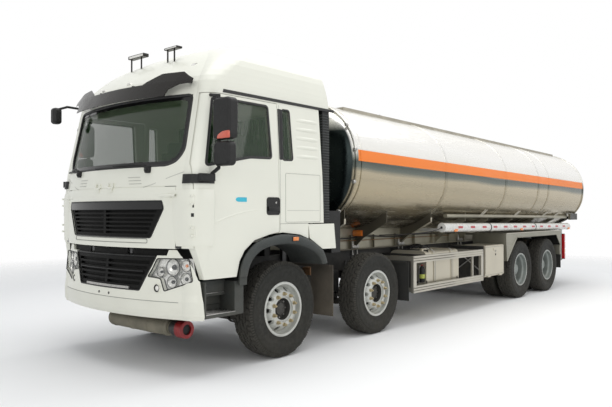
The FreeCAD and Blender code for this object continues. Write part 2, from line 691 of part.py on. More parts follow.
DOOR = [
    (1275, 1262), (1275, 2040), (1128, 2738), (190, 2738), (175, 1372), (330, 1350), (545, 1298), (684, 1200),
    (752, 1098), (792, 946), (1200, 946)]
DOOR_WINDOW = [(1175, 2030), (1066, 2695), (330, 2695), (288, 2152), (600, 2142)]
QUARTER = [(110, 2690), (-10, 2690), (-50, 2150), (110, 2142)]


def grown(points, d):
    cx = sum(p[0] for p in points) / len(points)
    cz = sum(p[1] for p in points) / len(points)
    out = []
    for x, z in points:
        out.append((x + math.copysign(d, x - cx), z + math.copysign(d, z - cz)))
    return out


def side_prism(points, y0=1000, y1=1400):
    return prism_y([(X(x), z) for x, z in points], y0, y1)


DOOR_AXIS = (1278.0, 1196.0)
DOOR_HINGE_Z = (1400.0, 1700.0)
FLAP_AXIS = (1503.0, FLAP_TOP + SEAM / 2)
FLAP_HINGE_Y = (-120.0, 120.0)


door_zone = side_prism(DOOR)
door_zone_gap = side_prism(grown(DOOR, SEAM))
window_zone = side_prism(DOOR_WINDOW)
quarter_zone = side_prism(QUARTER)

glass_band = levels_solid(CAB_LEVELS, GLASS_IN).cut(levels_solid(CAB_LEVELS, GLASS_IN + GLASS_T))
door_solid = cab_wall.common(door_zone).cut(window_zone)
handle = box(X(190), X(345), 1240, 1262, 1600, 1640)
hinge_rooms = []
hinge_fixed = []
hinge_moving = []
for z in DOOR_HINGE_Z:
    ax = X(DOOR_AXIS[0])
    ay = DOOR_AXIS[1]
    leaf_m = box(ax - 40, ax - 2, ay - 12, ay - 4, z - HINGE_HALF, z + HINGE_HALF)
    leaf_f = [box(ax + 2, ax + 40, ay - 30, ay - 4, z + HINGE_HALF + PIN_GAP, z + HINGE_HALF + 20),
              box(ax + 2, ax + 40, ay - 30, ay - 4, z - HINGE_HALF - 20, z - HINGE_HALF - PIN_GAP)]
    m, f, room = hinge_parts((ax, ay, z), (0, 0, 1), leaf_m, leaf_f)
    hinge_moving.append(m)
    hinge_fixed.append(f)
    hinge_rooms.append(room)
door_left = fuse([door_solid.cut(hinge_rooms), handle] + hinge_moving)
write("door_left", door_left)
write("door_right", mirrored(door_left))
door_glass = glass_band.common(window_zone)
write("door_glass_left", door_glass)
write("door_glass_right", mirrored(door_glass))

WINDSCREEN = [(-860, 2030), (860, 2030), (968, 2072), (1034, 2180), (1012, 2735), (-1012, 2735),
              (-1034, 2180), (-968, 2072)]
windscreen_zone = prism_x(WINDSCREEN, X(900), X(1700))
flap_zone = prism_x([(-FLAP_HALF, SKIRT_LOW - 5), (FLAP_HALF, SKIRT_LOW - 5), (FLAP_HALF, FLAP_TOP),
                     (-FLAP_HALF, FLAP_TOP)], X(1000), X(1700))
flap_gap = prism_x([(-FLAP_HALF - SEAM, SKIRT_LOW - 20), (FLAP_HALF + SEAM, SKIRT_LOW - 20),
                    (FLAP_HALF + SEAM, FLAP_TOP + SEAM), (-FLAP_HALF - SEAM, FLAP_TOP + SEAM)],
                   X(1000), X(1700))
below = box(X(-700), X(1700), -1400, 1400, 900, SKIRT_LOW)
arch_zone = side_prism([
    (800, 900), (764, 1096), (694, 1198), (550, 1296), (332, 1348), (120, 1368), (-160, 1338), (-300, 1290),
    (-300, 1462), (-900, 1462), (-900, 900)], 1078, 1400)
floor = cab_out.common(box(X(-560), X(1250), -1070, 1070, CAB_FLOOR, CAB_FLOOR + 40))
shell_parts = cab_wall.cut([below, windscreen_zone, flap_gap, door_zone_gap, mirrored(door_zone_gap),
                            quarter_zone, mirrored(quarter_zone), arch_zone, mirrored(arch_zone)])
rear_window = box(X(-700), X(-400), -420, 420, 2100, 2550)
shell_parts = shell_parts.cut(rear_window)
lugs = []
for s in (1, -1):
    lug = prism_y([(X(TILT_X) - 30, TILT_Z - 28), (X(TILT_X) + 24, TILT_Z - 28),
                   (X(TILT_X) + 24, TILT_Z + 20), (X(TILT_X) - 60, CAB_FLOOR + 30),
                   (X(1200), CAB_FLOOR + 30), (X(1200), CAB_FLOOR)],
                  s * 352 - 22, s * 352 + 22)
    lug = lug.cut(rod((X(TILT_X), s * 352 - 40, TILT_Z), (X(TILT_X), s * 352 + 40, TILT_Z), 20 + PIN_GAP))
    lugs.append(lug)
door_clear = side_prism(grown(DOOR, 2 * SEAM))
screen = glass_band.common(windscreen_zone).cut([door_clear, mirrored(door_clear)])
quarter_glass = glass_band.common(quarter_zone)
rear_glass = glass_band.common(rear_window)
write("cab_glass", [screen, quarter_glass, mirrored(quarter_glass), rear_glass])

roof_levels = softened(ROOF_LEVELS, 3)
roof_out = levels_solid(roof_levels, 0.0)
roof_in = levels_solid([r for r in roof_levels if r[0] < ROOF_LEVELS[-1][0] - 30], CAB_WALL)
write("cab_roof", roof_out.cut(roof_in))


# Sun visor: a bowed blade in front of the forehead
def visor_ring(z, centre, half, thick, lift):
    end_x = X(front_x(centre, half))
    pts = [V(end_x, -half, z + lift), V(X(centre), 0, z), V(end_x, half, z + lift)]
    back = [V(p.x - thick, p.y, p.z) for p in pts]
    return Part.Wire([
        Part.Arc(pts[0], pts[1], pts[2]).toShape(), Part.LineSegment(pts[2], back[2]).toShape(),
        Part.Arc(back[2], back[1], back[0]).toShape(), Part.LineSegment(back[0], pts[0]).toShape()])


VISOR_SHAPE = [(0, 2712), (812, 2712), (824, 2780), (930, 2826), (1066, 2834), (1060, 2880), (998, 2912),
               (922, 2962), (664, 2966), (500, 2896), (452, 2866), (0, 2866)]
outline = VISOR_SHAPE + [(-y, z) for y, z in reversed(VISOR_SHAPE[1:-1])]
blade = Part.makeLoft([visor_ring(2700, 1462, 1080, 10, 0), visor_ring(2866, 1380, 1080, 10, 0),
                       visor_ring(2975, 1318, 1080, 10, 0)], True, True)
blade = blade.common(prism_x(outline, X(1000), X(1700)))
brackets = []
for y in (-960, -300, 300, 960):
    fx = front_x(1300, y)
    brackets.append(box(X(fx - 110), X(fx + 74), y - 12, y + 12, 2850, 2875))
visor = fuse([blade] + brackets).cut(roof_out)
roof_lamps = []
for y0, y1, top, deep in ((-425, -120, 3372, 38), (250, 480, 3352, 24)):
    bar = rounded_box(X(866), X(930), y0, y1, top - deep, top, 10)
    feet = [rod((X(900), y, 3100), (X(900), y, top - deep / 2), 9) for y in (y0 + 24, y1 - 90)]
    roof_lamps.append(fuse([bar] + feet).cut(roof_out))
write("visor_and_roof_lamps", [visor] + roof_lamps)

# Bonnet flap with the upper grille
grille_top = [(-700, 1340), (700, 1340), (854, 1620), (835, 1690), (-835, 1690), (-854, 1620)]
grille_zone = prism_x(grille_top, X(1000), X(1700))
flap_moving = []
flap_fixed = []
flap_rooms = []
for y in FLAP_HINGE_Y:
    ax = X(FLAP_AXIS[0])
    az = FLAP_AXIS[1]
    leaf_m = box(ax - 14, ax - 1, y - HINGE_HALF, y + HINGE_HALF, az - 45, az - 2)
    leaf_f = [box(ax - 14, ax - 1, y + HINGE_HALF + PIN_GAP, y + HINGE_HALF + 20, az + 2, az + 45),
              box(ax - 14, ax - 1, y - HINGE_HALF - 20, y - HINGE_HALF - PIN_GAP, az + 2, az + 45)]
    m, f, room = hinge_parts((ax, y, az), (0, 1, 0), leaf_m, leaf_f)
    flap_moving.append(m)
    flap_fixed.append(f)
    flap_rooms.append(room)
hood = fuse([cab_wall.common(flap_zone).cut([grille_zone] + flap_rooms)] + flap_moving)
write("hood_flap", hood)
shell_parts = shell_parts.cut(hinge_rooms + [mirrored(r) for r in hinge_rooms] + flap_rooms)
fixed_all = hinge_fixed + [mirrored(f) for f in hinge_fixed] + flap_fixed
cab_shell = fuse([shell_parts, floor] + lugs + fixed_all)
write("cab_shell", cab_shell)
band = levels_solid(CAB_LEVELS, 12.0).cut(levels_solid(CAB_LEVELS, CAB_WALL))
slots = []
for i in range(6):
    z = 1372 + 42 * i
    half = 640 + (z - 1340) * 0.5
    for s in (1, -1):
        slots.append(side_box(s, X(1000), X(1700), 22, half, z, z + 24))
upper_grille = band.common(grille_zone).cut(slots)
write("upper_grille", upper_grille)

# Bumper, lower grille and headlamps
BUMPER_LEVELS = (
    (560.0, 1478.0, 1250.0, 700.0, 200.0),
    (600.0, 1496.0, 1256.0, 700.0, 200.0),
    (735.0, 1500.0, 1252.0, 700.0, 190.0),
    (800.0, 1490.0, 1246.0, 700.0, 190.0),
    (1160.0, 1462.0, 1246.0, 700.0, 190.0),
    (1224.0, 1462.0, 1246.0, 700.0, 190.0))
BUMPER_TOP = 1165.0
BUMPER_FIN = [(828, 1100), (884, 1222), (1084, 1222), (1126, 1100)]
bump_out = levels_solid(BUMPER_LEVELS, 0.0)
bump_in = levels_solid(BUMPER_LEVELS, 40.0)
bump_wall = bump_out.cut(bump_in)
keep = side_prism([(1192, 540), (1228, 930), (1240, 940), (1296, BUMPER_TOP), (1600, BUMPER_TOP),
                   (1600, 540)], -1400, 1400)
fin_room = side_prism([(1280, 1090), (1314, 1230), (1700, 1230), (1700, 1090)], -1400, 1400)
fin = prism_x(BUMPER_FIN, X(1000), X(1700)).common(fin_room)
LOWER_GRILLE = [(-545, 816), (545, 816), (755, 1180), (-755, 1180)]
HEADLAMP = [(745, 1135), (1112, 1142), (1162, 930), (850, 825), (800, 945), (642, 958), (694, 1030)]
lower_zone = prism_x(LOWER_GRILLE, X(1000), X(1700))
lamp_zone = prism_x(HEADLAMP, X(1000), X(1700))
bumper = fuse([bump_wall.common(keep), bump_wall.common(fin), bump_wall.common(mirrored(fin))])
bumper = bumper.cut([lower_zone, lamp_zone, mirrored(lamp_zone)])
fogs = []
for s in (1, -1):
    fogs.append(rod((X(1200), s * 765, 850), (X(1600), s * 765, 850), 38))
bumper = bumper.cut(fogs)
plate_holes = []
for y in (-90, 90):
    plate_holes.append(rod((X(1400), y, 760), (X(1600), y, 760), 5.5))
bumper = bumper.cut(plate_holes)
stays = []
for s in (1, -1):
    stays.append(box(X(RAIL_FRONT), X(1440), s * 395 - 30, s * 395 + 30, 660, 790))
bumper = fuse([bumper] + stays)
write("bumper", bumper)
lamp_wall = levels_solid(BUMPER_LEVELS, 4.0).cut(levels_solid(BUMPER_LEVELS, 36.0))
lamp = lamp_wall.common(lamp_zone)
fog = rod((X(1330), 765, 850), (X(1380), 765, 850), 38)
write("headlamps", [lamp, mirrored(lamp), fog, mirrored(fog)])
lower_band = levels_solid(BUMPER_LEVELS, 14.0).cut(levels_solid(BUMPER_LEVELS, 40.0))
lower = lower_band.common(prism_x([(-545, 816), (545, 816), (738, 1158), (-738, 1158)], X(1000), X(1700)))
slots = []
for i in range(5):
    z = 868 + 52 * i
    half = 500 + (z - 816) * 0.55
    for s in (1, -1):
        slots.append(side_box(s, X(1000), X(1700), 20, half, z, z + 30))
lower = lower.cut(slots)
write("lower_grille", lower)

# Steps and front wheel arches, on the chassis
STEP_FRONT = 1184.0
STEP_TOP = 915.0
ARCH_OUT = [(778, 860), (776, 943), (737, 1088), (667, 1183), (528, 1280), (323, 1332), (124, 1352),
            (-152, 1324), (-392, 1240), (-535, 1150), (-607, 1008)]
ARCH_IN = [(676, 860), (672, 943), (634, 1045), (575, 1122), (470, 1190), (305, 1232), (118, 1244),
           (-125, 1222), (-335, 1155), (-450, 1085), (-512, 990)]


def curved_band(outer, inner, y0, y1):
    a = spline([(X(x), y0, z) for x, z in outer])
    b = spline([(X(x), y0, z) for x, z in reversed(inner)])
    ends = []
    for p, q in ((outer[-1], inner[-1]), (inner[0], outer[0])):
        ends.append(Part.LineSegment(V(X(p[0]), y0, p[1]), V(X(q[0]), y0, q[1])).toShape())
    return Part.Face(Part.Wire([a, ends[0], b, ends[1]])).extrude(V(0, y1 - y0, 0))


def arch_line(part):
    """The line at a share of the way from the arch's inner edge to its outer edge."""
    return [(b[0] + (a[0] - b[0]) * part, b[1] + (a[1] - b[1]) * part) for a, b in zip(ARCH_OUT, ARCH_IN)]


LIP_Y = 1252.0
LINER_OUT = [(x * 1.02, z + 8) for x, z in ARCH_IN]
steps = []
for s in (1, -1):
    lip = fuse([curved_band(arch_line(0.93), ARCH_IN, s * LIP_Y, s * (LIP_Y + 20)),
                curved_band(arch_line(0.35), ARCH_IN, s * 1180, s * (LIP_Y + 2))])
    liner = curved_band(LINER_OUT, ARCH_IN, s * 780, s * 1190)
    tread = side_box(s, X(786), X(STEP_FRONT), 860, 1236, 572, 604)
    back = side_box(s, X(786), X(STEP_FRONT), 850, 880, 572, STEP_TOP)
    front = side_box(s, X(STEP_FRONT - 20), X(STEP_FRONT), 850, 1225, 572, STEP_TOP)
    rear = side_box(s, X(680), X(800), 850, 1225, 572, 900)
    mid = side_box(s, X(790), X(1190), 860, 1080, 760, 785)
    arm = side_box(s, X(900), X(1000), 430, 860, 800, 900)
    steps.append(fuse([lip, liner, tread, back, front, rear, mid, arm]))
write("steps_and_arches", steps)

# White covers behind the cab's lower corners
covers = []
for s in (1, -1):
    cover = prism_y([(X(-330), 1290), (X(-300), 1450), (X(-765), 1450), (X(-800), 1160), (X(-560), 1162),
                     (X(-420), 1240)], s * 1180, s * 1245)
    stay = side_box(s, X(-760), X(-700), 430, 1190, 1180, 1230)
    foot = side_box(s, X(-760), X(-700), 430, 480, 961, 1230)
    covers.append(fuse([cover, stay, foot]))
write("rear_covers", covers)

# Air intake behind the cab
duct = fuse([box(X(-722), X(-600), 1050, 1205, 1458, 2780), box(X(-980), X(-600), 1050, 1170, 1458, 1600)])
cleaner = box(X(-980), X(-810), 500, 1170, 1100, 1600)
cleaner_foot = box(X(-950), X(-850), RAIL_Y, 510, 900, 1400)
write("air_intake", fuse([duct, cleaner, cleaner_foot]))

# Rear bumper beam and tail lamps
beam = box(X(-9260), X(-9180), -950, 950, 450, 570)
legs = []
for s in (1, -1):
    legs.append(box(X(-9245), X(-9195), s * 400 - 30, s * 400 + 30, 500, RAIL_TOP - RAIL_H))
write("rear_bumper", fuse([beam] + legs))
lamps = []
for s in (1, -1):
    post = side_box(s, X(-8700), X(-8665), 1180, 1236, 590, 1120)
    lamps.append(post)
write("tail_lamps", lamps)

# Mirrors on the doors; the right one also carries a near-view mirror on a raised arm
def mirror_set(x0, top):
    bodies = []
    for low, high, front, side in ((2270, 2660, 0, 1290), (2020, 2250, 10, 1300)):
        case = box(X(x0 + front), X(x0 + 120), side, side + 240 - 2 * front, low, high)
        edges = [e for e in case.Edges if abs(e.Vertexes[0].X - e.Vertexes[1].X) > 1]
        case = case.makeFillet(48, edges)
        bodies.append(case.makeFillet(26, [e for e in case.Edges if abs(e.BoundBox.XLength) < 0.01]))
    bodies.append(rod((X(x0 + 70), 1330, 2000), (X(x0 + 70), 1330, top), 16))
    bodies.append(rod((X(x0 + 70), 1330, 2690), (X(x0 + 55), 1190, 2716), 16))
    bodies.append(rod((X(x0 + 70), 1330, 2005), (X(x0 + 90), 1225, 1935), 18))
    bodies.append(box(X(x0 + 60), X(1262), 1225, 1270, 1880, 1950))
    return bodies


write("mirror_left", fuse(mirror_set(1030, 2700)).cut([door_left, door_glass]))
near = box(X(1205), X(1315), 1392, 1504, 2656, 2852)
near = near.makeFillet(38, near.Edges)
near_arm = [rod((X(900), 1330, 2855), (X(1190), 1330, 2862), 14)]
near_arm.append(rod((X(1180), 1330, 2862), (X(1260), 1448, 2830), 14))
right_side = fuse(mirror_set(830, 2868) + [near] + near_arm).cut([door_left, door_glass])
write("mirror_right", mirrored(right_side))

# Cab interior seen through the glass
dash = prism_y([(X(1230), CAB_FLOOR + 40), (X(1230), 1900), (X(1130), 1960), (X(850), 1900), (X(800), 1700),
                (X(900), CAB_FLOOR + 40)], -1000, 1000)
seats = []
for y in (-560, 560):
    seats.append(box(X(150), X(650), y - 250, y + 250, CAB_FLOOR + 40, 1680))
    seats.append(box(X(50), X(180), y - 250, y + 250, 1600, 2330))
bunk = box(X(-500), X(-120), -1100, 1100, CAB_FLOOR + 40, 1600)
wheel = Part.makeTorus(230, 18, V(X(760), 560, 2010), V(0.75, 0, -0.66))
column = rod((X(900), 560, 1850), (X(755), 560, 2015), 40)
spoke = rod((X(760), 340, 2010), (X(760), 780, 2010), 14)
write("cab_interior", [fuse([dash, column, wheel, spoke]), fuse(seats[:2]), fuse(seats[2:]), bunk])
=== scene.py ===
import bpy
import bmesh
import math
from mathutils import Matrix, Vector


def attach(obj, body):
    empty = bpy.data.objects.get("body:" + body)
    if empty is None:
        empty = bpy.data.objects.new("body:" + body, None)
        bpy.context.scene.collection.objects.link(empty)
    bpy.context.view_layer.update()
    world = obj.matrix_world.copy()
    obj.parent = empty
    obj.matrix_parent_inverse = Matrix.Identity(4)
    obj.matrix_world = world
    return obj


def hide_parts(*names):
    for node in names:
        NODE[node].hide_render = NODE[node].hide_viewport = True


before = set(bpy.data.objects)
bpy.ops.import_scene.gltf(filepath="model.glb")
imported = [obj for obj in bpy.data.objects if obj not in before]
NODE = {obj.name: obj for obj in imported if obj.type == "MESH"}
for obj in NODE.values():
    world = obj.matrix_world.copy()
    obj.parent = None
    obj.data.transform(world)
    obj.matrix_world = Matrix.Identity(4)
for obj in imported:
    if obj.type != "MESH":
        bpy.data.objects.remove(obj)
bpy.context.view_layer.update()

# Places that drive the rest. A piece is drawn with x measured from axle 1, and Piece.add moves it by A1
A1 = 4.31
AXLES = {1: 0.0, 2: -1.8, 3: -6.4, 4: -7.75}
HUB_Z = 0.525
CIRCLE = 2 * math.pi

# Where a piece is put: as it is drawn, mirrored to the other side, or both
DRAWN = (1,)
MIRRORED = (-1,)
BOTH = (1, -1)
SIDES = (("left", DRAWN), ("right", MIRRORED))

# Camera: place, heading and lens of the photograph
CAMERA_AT = (9.3979, 5.8556, 1.581)
CAMERA_TURN = (-139.235, 0.809, -0.066)
CAMERA_LENS = 37.206


def make_camera():
    yaw, pitch, roll = (math.radians(a) for a in CAMERA_TURN)
    fwd = Vector((math.cos(pitch) * math.cos(yaw), math.cos(pitch) * math.sin(yaw), math.sin(pitch)))
    right = fwd.cross(Vector((0, 0, 1))).normalized()
    up = right.cross(fwd)
    r2 = right * math.cos(roll) + up * math.sin(roll)
    u2 = up * math.cos(roll) - right * math.sin(roll)
    rot = Matrix((r2, u2, -fwd)).transposed().to_4x4()
    cam = bpy.data.cameras.new("photo_camera")
    cam.lens = CAMERA_LENS
    cam.sensor_width = 36
    cam.clip_end = 200
    ob = bpy.data.objects.new("photo_camera", cam)
    ob.matrix_world = Matrix.Translation(CAMERA_AT) @ rot
    bpy.context.scene.collection.objects.link(ob)
    bpy.context.scene.camera = ob


make_camera()
bpy.context.scene.view_settings.view_transform = "Standard"


# Studio: white backdrop, soft lamps
def make_world():
    """Soft light for the object, and plain white where the camera, glass or metal sees the backdrop."""
    world = bpy.data.worlds.new("studio")
    bpy.context.scene.world = world
    world.use_nodes = True
    world.node_tree.nodes.clear()
    new = world.node_tree.nodes.new
    link = world.node_tree.links.new
    out = new("ShaderNodeOutputWorld")
    mix = new("ShaderNodeMixShader")
    link(mix.outputs[0], out.inputs[0])
    for k, (colour, strength) in enumerate((((0.93, 0.96, 1.0, 1), 0.52), ((1, 1, 1, 1), 1.0))):
        sky = new("ShaderNodeBackground")
        sky.inputs[0].default_value = colour
        sky.inputs[1].default_value = strength
        link(sky.outputs[0], mix.inputs[k + 1])
    path = new("ShaderNodeLightPath")
    seen = path.outputs["Is Camera Ray"]
    for ray in ("Is Transmission Ray", "Is Glossy Ray"):
        either = new("ShaderNodeMath")
        either.operation = "MAXIMUM"
        link(seen, either.inputs[0])
        link(path.outputs[ray], either.inputs[1])
        seen = either.outputs[0]
    link(seen, mix.inputs[0])


def lamp(name, place, target, size, size_y, energy, colour=(1, 1, 1)):
    data = bpy.data.lights.new(name, "AREA")
    data.shape = "RECTANGLE"
    data.size = size
    data.size_y = size_y
    data.energy = energy
    data.color = colour
    ob = bpy.data.objects.new(name, data)
    ob.location = place
    ob.rotation_euler = (Vector(target) - Vector(place)).to_track_quat("-Z", "Y").to_euler()
    bpy.context.scene.collection.objects.link(ob)


make_world()
lamp("sky_panel", (0, 1.0, 11.0), (0, 0, 0), 18, 9, 1050)
lamp("front_panel", (15.0, 6.0, 5.5), (3, 0, 1.6), 8, 6, 300, (1.0, 0.99, 0.96))
lamp("side_panel", (0.0, 13.0, 6.5), (0, 0, 1.6), 14, 5, 330, (1.0, 0.99, 0.97))


# Materials
class Mat:
    """A shader built up in steps; done() joins them to the surface."""

    def __init__(self, name, colour, rough, metal=0.0):
        self.m = bpy.data.materials.new(name)
        self.m.use_nodes = True
        self.t = self.m.node_tree
        self.p = self.t.nodes["Principled BSDF"]
        self.p.inputs["Metallic"].default_value = metal
        self.p.inputs["Roughness"].default_value = rough
        self.obj = self.node("ShaderNodeTexCoord").outputs["Object"]
        self.sep = None
        base = self.node("ShaderNodeRGB")
        base.outputs[0].default_value = (*colour, 1)
        self.col = base.outputs[0]
        self.rough = None
        self.height = None

    def node(self, kind, **settings):
        n = self.t.nodes.new(kind)
        for k, v in settings.items():
            setattr(n, k, v)
        return n

    def link(self, a, b):
        self.t.links.new(a, b)

    def feed(self, value, socket):
        """Set a number on a socket, or link another node's output to it."""
        if isinstance(value, (int, float)):
            socket.default_value = value
        else:
            self.link(value, socket)

    def noise(self, scale, detail=4.0, stretch=None):
        n = self.node("ShaderNodeTexNoise")
        n.inputs["Scale"].default_value = scale
        n.inputs["Detail"].default_value = detail
        place = self.obj
        if stretch:
            mapping = self.node("ShaderNodeMapping")
            mapping.inputs["Scale"].default_value = stretch
            self.link(self.obj, mapping.inputs["Vector"])
            place = mapping.outputs[0]
        self.link(place, n.inputs["Vector"])
        return n.outputs["Fac"]

    def axis(self, i):
        if self.sep is None:
            self.sep = self.node("ShaderNodeSeparateXYZ")
            self.link(self.obj, self.sep.inputs[0])
        return self.sep.outputs[i]

    def ramp(self, fac, stops):
        r = self.node("ShaderNodeValToRGB")
        e = r.color_ramp.elements
        while len(e) < len(stops):
            e.new(0.5)
        for k, (pos, c) in enumerate(stops):
            e[k].position = pos
            e[k].color = (*c, 1) if hasattr(c, "__len__") else (c, c, c, 1)
        self.link(fac, r.inputs[0])
        return r.outputs[0]

    def remap(self, value, a, b, c, d):
        """The range a to b of the value becomes c to d."""
        r = self.node("ShaderNodeMapRange")
        for k, v in zip(("From Min", "From Max", "To Min", "To Max"), (a, b, c, d)):
            r.inputs[k].default_value = v
        self.link(value, r.inputs["Value"])
        return r.outputs[0]

    def math(self, op, a, b):
        n = self.node("ShaderNodeMath", operation=op)
        self.feed(a, n.inputs[0])
        self.feed(b, n.inputs[1])
        return n.outputs[0]

    def blend(self, fac, colour, kind="MIX"):
        n = self.node("ShaderNodeMix", data_type="RGBA", blend_type=kind)
        self.feed(fac, n.inputs[0])
        self.link(self.col, n.inputs[6])
        if hasattr(colour, "__len__"):
            n.inputs[7].default_value = (*colour, 1)
        else:
            self.link(colour, n.inputs[7])
        self.col = n.outputs[2]
        return self

    def vary(self, scale, amount, detail=5.0, stretch=None):
        f = self.ramp(self.noise(scale, detail, stretch), ((0.3, 1 - amount), (0.7, 1.0)))
        return self.blend(1.0, f, "MULTIPLY")

    def dust(self, low, high, colour, most=0.5, scale=6.0):
        """Patchy dirt that thins out from the height low up to high."""
        h = self.remap(self.axis(2), low, high, most, 0.0)
        n = self.remap(self.noise(scale, 6.0), 0.35, 0.65, 0.35, 1.0)
        return self.blend(self.math("MULTIPLY", h, n), colour)

    def roughen(self, scale, low, high, stretch=None):
        self.rough = self.remap(self.noise(scale, 4.0, stretch), 0.3, 0.7, low, high)
        return self

    def bump(self, scale, strength, distance=0.002, stretch=None):
        b = self.node("ShaderNodeBump")
        b.inputs["Strength"].default_value = strength
        b.inputs["Distance"].default_value = distance
        self.link(self.noise(scale, 3.0, stretch), b.inputs["Height"])
        self.height = b.outputs[0]
        return self

    def coat(self, weight, rough=0.05):
        self.p.inputs["Coat Weight"].default_value = weight
        self.p.inputs["Coat Roughness"].default_value = rough
        return self

    def dull(self, level):
        self.p.inputs["Specular IOR Level"].default_value = level
        return self

    def done(self):
        self.link(self.col, self.p.inputs["Base Color"])
        if self.rough is not None:
            self.link(self.rough, self.p.inputs["Roughness"])
        if self.height is not None:
            self.link(self.height, self.p.inputs["Normal"])
        return self.m


DIRT = (0.20, 0.17, 0.12)
CHASSIS_BLACK = (0.02, 0.02, 0.021)
M = {}


def paint(key, name, colour, rough, metal=0.0, **steps):
    """A material whose steps are taken in the order they are written."""
    m = Mat(name, colour, rough, metal)
    for step, values in steps.items():
        getattr(m, step)(*values)
    M[key] = m.done()


def white_paint(name):
    return Mat(name, (0.80, 0.80, 0.705), 0.34).vary(1.3, 0.035).dust(0.5, 1.3, (0.52, 0.49, 0.41), 0.22, 3)


def lacquer(m):
    return m.roughen(40, 0.3, 0.4).coat(0.2, 0.12).done()


def subframe_metal():
    """Dull web plates, the brackets behind the tank's end left dark, and painted shade on the wide saddle
    plates near the front.
    """
    m = Mat("subframe_metal", (0.42, 0.395, 0.31), 0.38, 0.55).vary(2.2, 0.3)
    m.blend(m.remap(m.axis(0), A1 - 9.47, A1 - 9.43, 1.0, 0.0), (0.03, 0.03, 0.028))
    # Painted shade: the plates more than 0.45 out from the middle, ahead of the third saddle, darkened
    wide = m.remap(m.math("ABSOLUTE", m.axis(1), 0.0), 0.44, 0.46, 0.0, 1.0)
    plate = m.math("MULTIPLY", wide, m.remap(m.axis(0), A1 - 3.8, A1 - 3.7, 0.0, 0.85))
    m.blend(plate, (0.075, 0.066, 0.048))
    return m.roughen(12, 0.3, 0.5, (0.4, 4, 4)).bump(90, 0.1, 0.001).done()


def flap_rubber():
    """Dusty flaps, the ones behind the second axle darker."""
    m = Mat("mudflap_rubber", (0.085, 0.072, 0.056), 0.85).vary(5, 0.35)
    m.dust(0.3, 0.9, (0.21, 0.18, 0.13), 0.5)
    m.blend(m.remap(m.axis(0), A1 - 2.2, A1 - 2.1, 1.0, 0.0), (0.018, 0.018, 0.016))
    return m.bump(60, 0.25, 0.002).done()


def arrester_paint():
    """Dark red outer end, a black collar next to the silencer."""
    m = Mat("arrester_paint", (0.27, 0.010, 0.012), 0.4).vary(20, 0.3)
    m.blend(m.remap(m.axis(1), 0.800, 0.803, 1.0, 0.0), (0.015, 0.014, 0.014))
    return m.roughen(40, 0.34, 0.5).done()


def rear_cover_paint():
    """White outer skin, its inner stays in chassis black."""
    m = white_paint("cover_paint")
    y = m.math("ABSOLUTE", m.axis(1), 0.0)
    return lacquer(m.blend(m.remap(y, 1.17, 1.178, 1.0, 0.0), CHASSIS_BLACK))


def shell_paint():
    """White cab shell, the tilt brackets under its floor in black."""
    m = white_paint("shell_paint")
    y = m.math("ABSOLUTE", m.axis(1), 0.0)
    inner = m.math("MULTIPLY", m.remap(y, 1.05, 1.06, 1.0, 0.0), m.remap(m.axis(2), 1.30, 1.31, 1.0, 0.0))
    inner = m.math("MULTIPLY", inner, m.remap(m.axis(0), A1 + 1.42, A1 + 1.43, 1.0, 0.0))
    return lacquer(m.blend(inner, CHASSIS_BLACK))


def glass(name, colour, alpha, rough=0.02):
    m = Mat(name, colour, rough).vary(1.5, 0.1).dull(0.75)
    m.p.inputs["Alpha"].default_value = alpha
    return m.roughen(4, rough * 0.6, rough * 1.6).done()


# Painted reflection on the tank plate, put into its colour by height: pale sky above, a dark horizon line and
# tan ground below: height share and colour
TANK_PAINTED_REFLECTION = ((0.00, (0.10, 0.09, 0.07)), (0.10, (0.12, 0.105, 0.075)), (0.15, (0.27, 0.235, 0.165)),
              (0.30, (0.34, 0.29, 0.195)), (0.43, (0.40, 0.35, 0.25)), (0.465, (0.13, 0.145, 0.125)),
              (0.505, (0.075, 0.09, 0.08)), (0.525, (0.22, 0.23, 0.20)), (0.60, (0.74, 0.73, 0.69)),
              (0.70, (0.80, 0.79, 0.76)), (0.86, (0.78, 0.76, 0.71)), (0.93, (0.50, 0.48, 0.42)),
              (1.00, (0.42, 0.40, 0.34)))


def barrel_metal(name, low, high, lift):
    m = Mat(name, (0.6, 0.6, 0.6), 0.2, 0.82)
    z = m.math("SUBTRACT", m.axis(2), m.math("MULTIPLY", m.math("ADD", m.axis(0), 1.29), 0.01344))
    z = m.remap(z, 1.27, 3.01, 0.0, 1.0)
    wobble = m.remap(m.noise(0.9, 3.0, (0.5, 1, 1)), 0.3, 0.7, -0.014, 0.014)
    z = m.math("ADD", z, wobble)
    # Painted reflection: the plate's colour follows the height table above
    m.col = m.ramp(z, [(p, tuple(min(1, v * lift) for v in c)) for p, c in TANK_PAINTED_REFLECTION])
    belly = m.remap(z, 0.10, 0.24, 0.85, 0.0)
    streaks = m.remap(m.noise(3.2, 3.0, (0.55, 1, 5)), 0.5, 0.62, 0.0, 1.0)
    m.blend(m.math("MULTIPLY", belly, streaks), (0.62, 0.58, 0.47))
    m.vary(0.8, 0.05, 4.0, (0.25, 1, 2.5))
    # Painted reflection of the cab: the plate's front end darkened, less so towards its top
    front = m.remap(m.axis(0), A1 - 1.20, A1 - 1.18, 0.0, 1.0)
    m.blend(m.math("MULTIPLY", front, m.remap(z, 0.72, 0.80, 1.0, 0.25)), (0.012, 0.018, 0.018))
    return m.roughen(5, low, high, (0.6, 6, 6)).done()


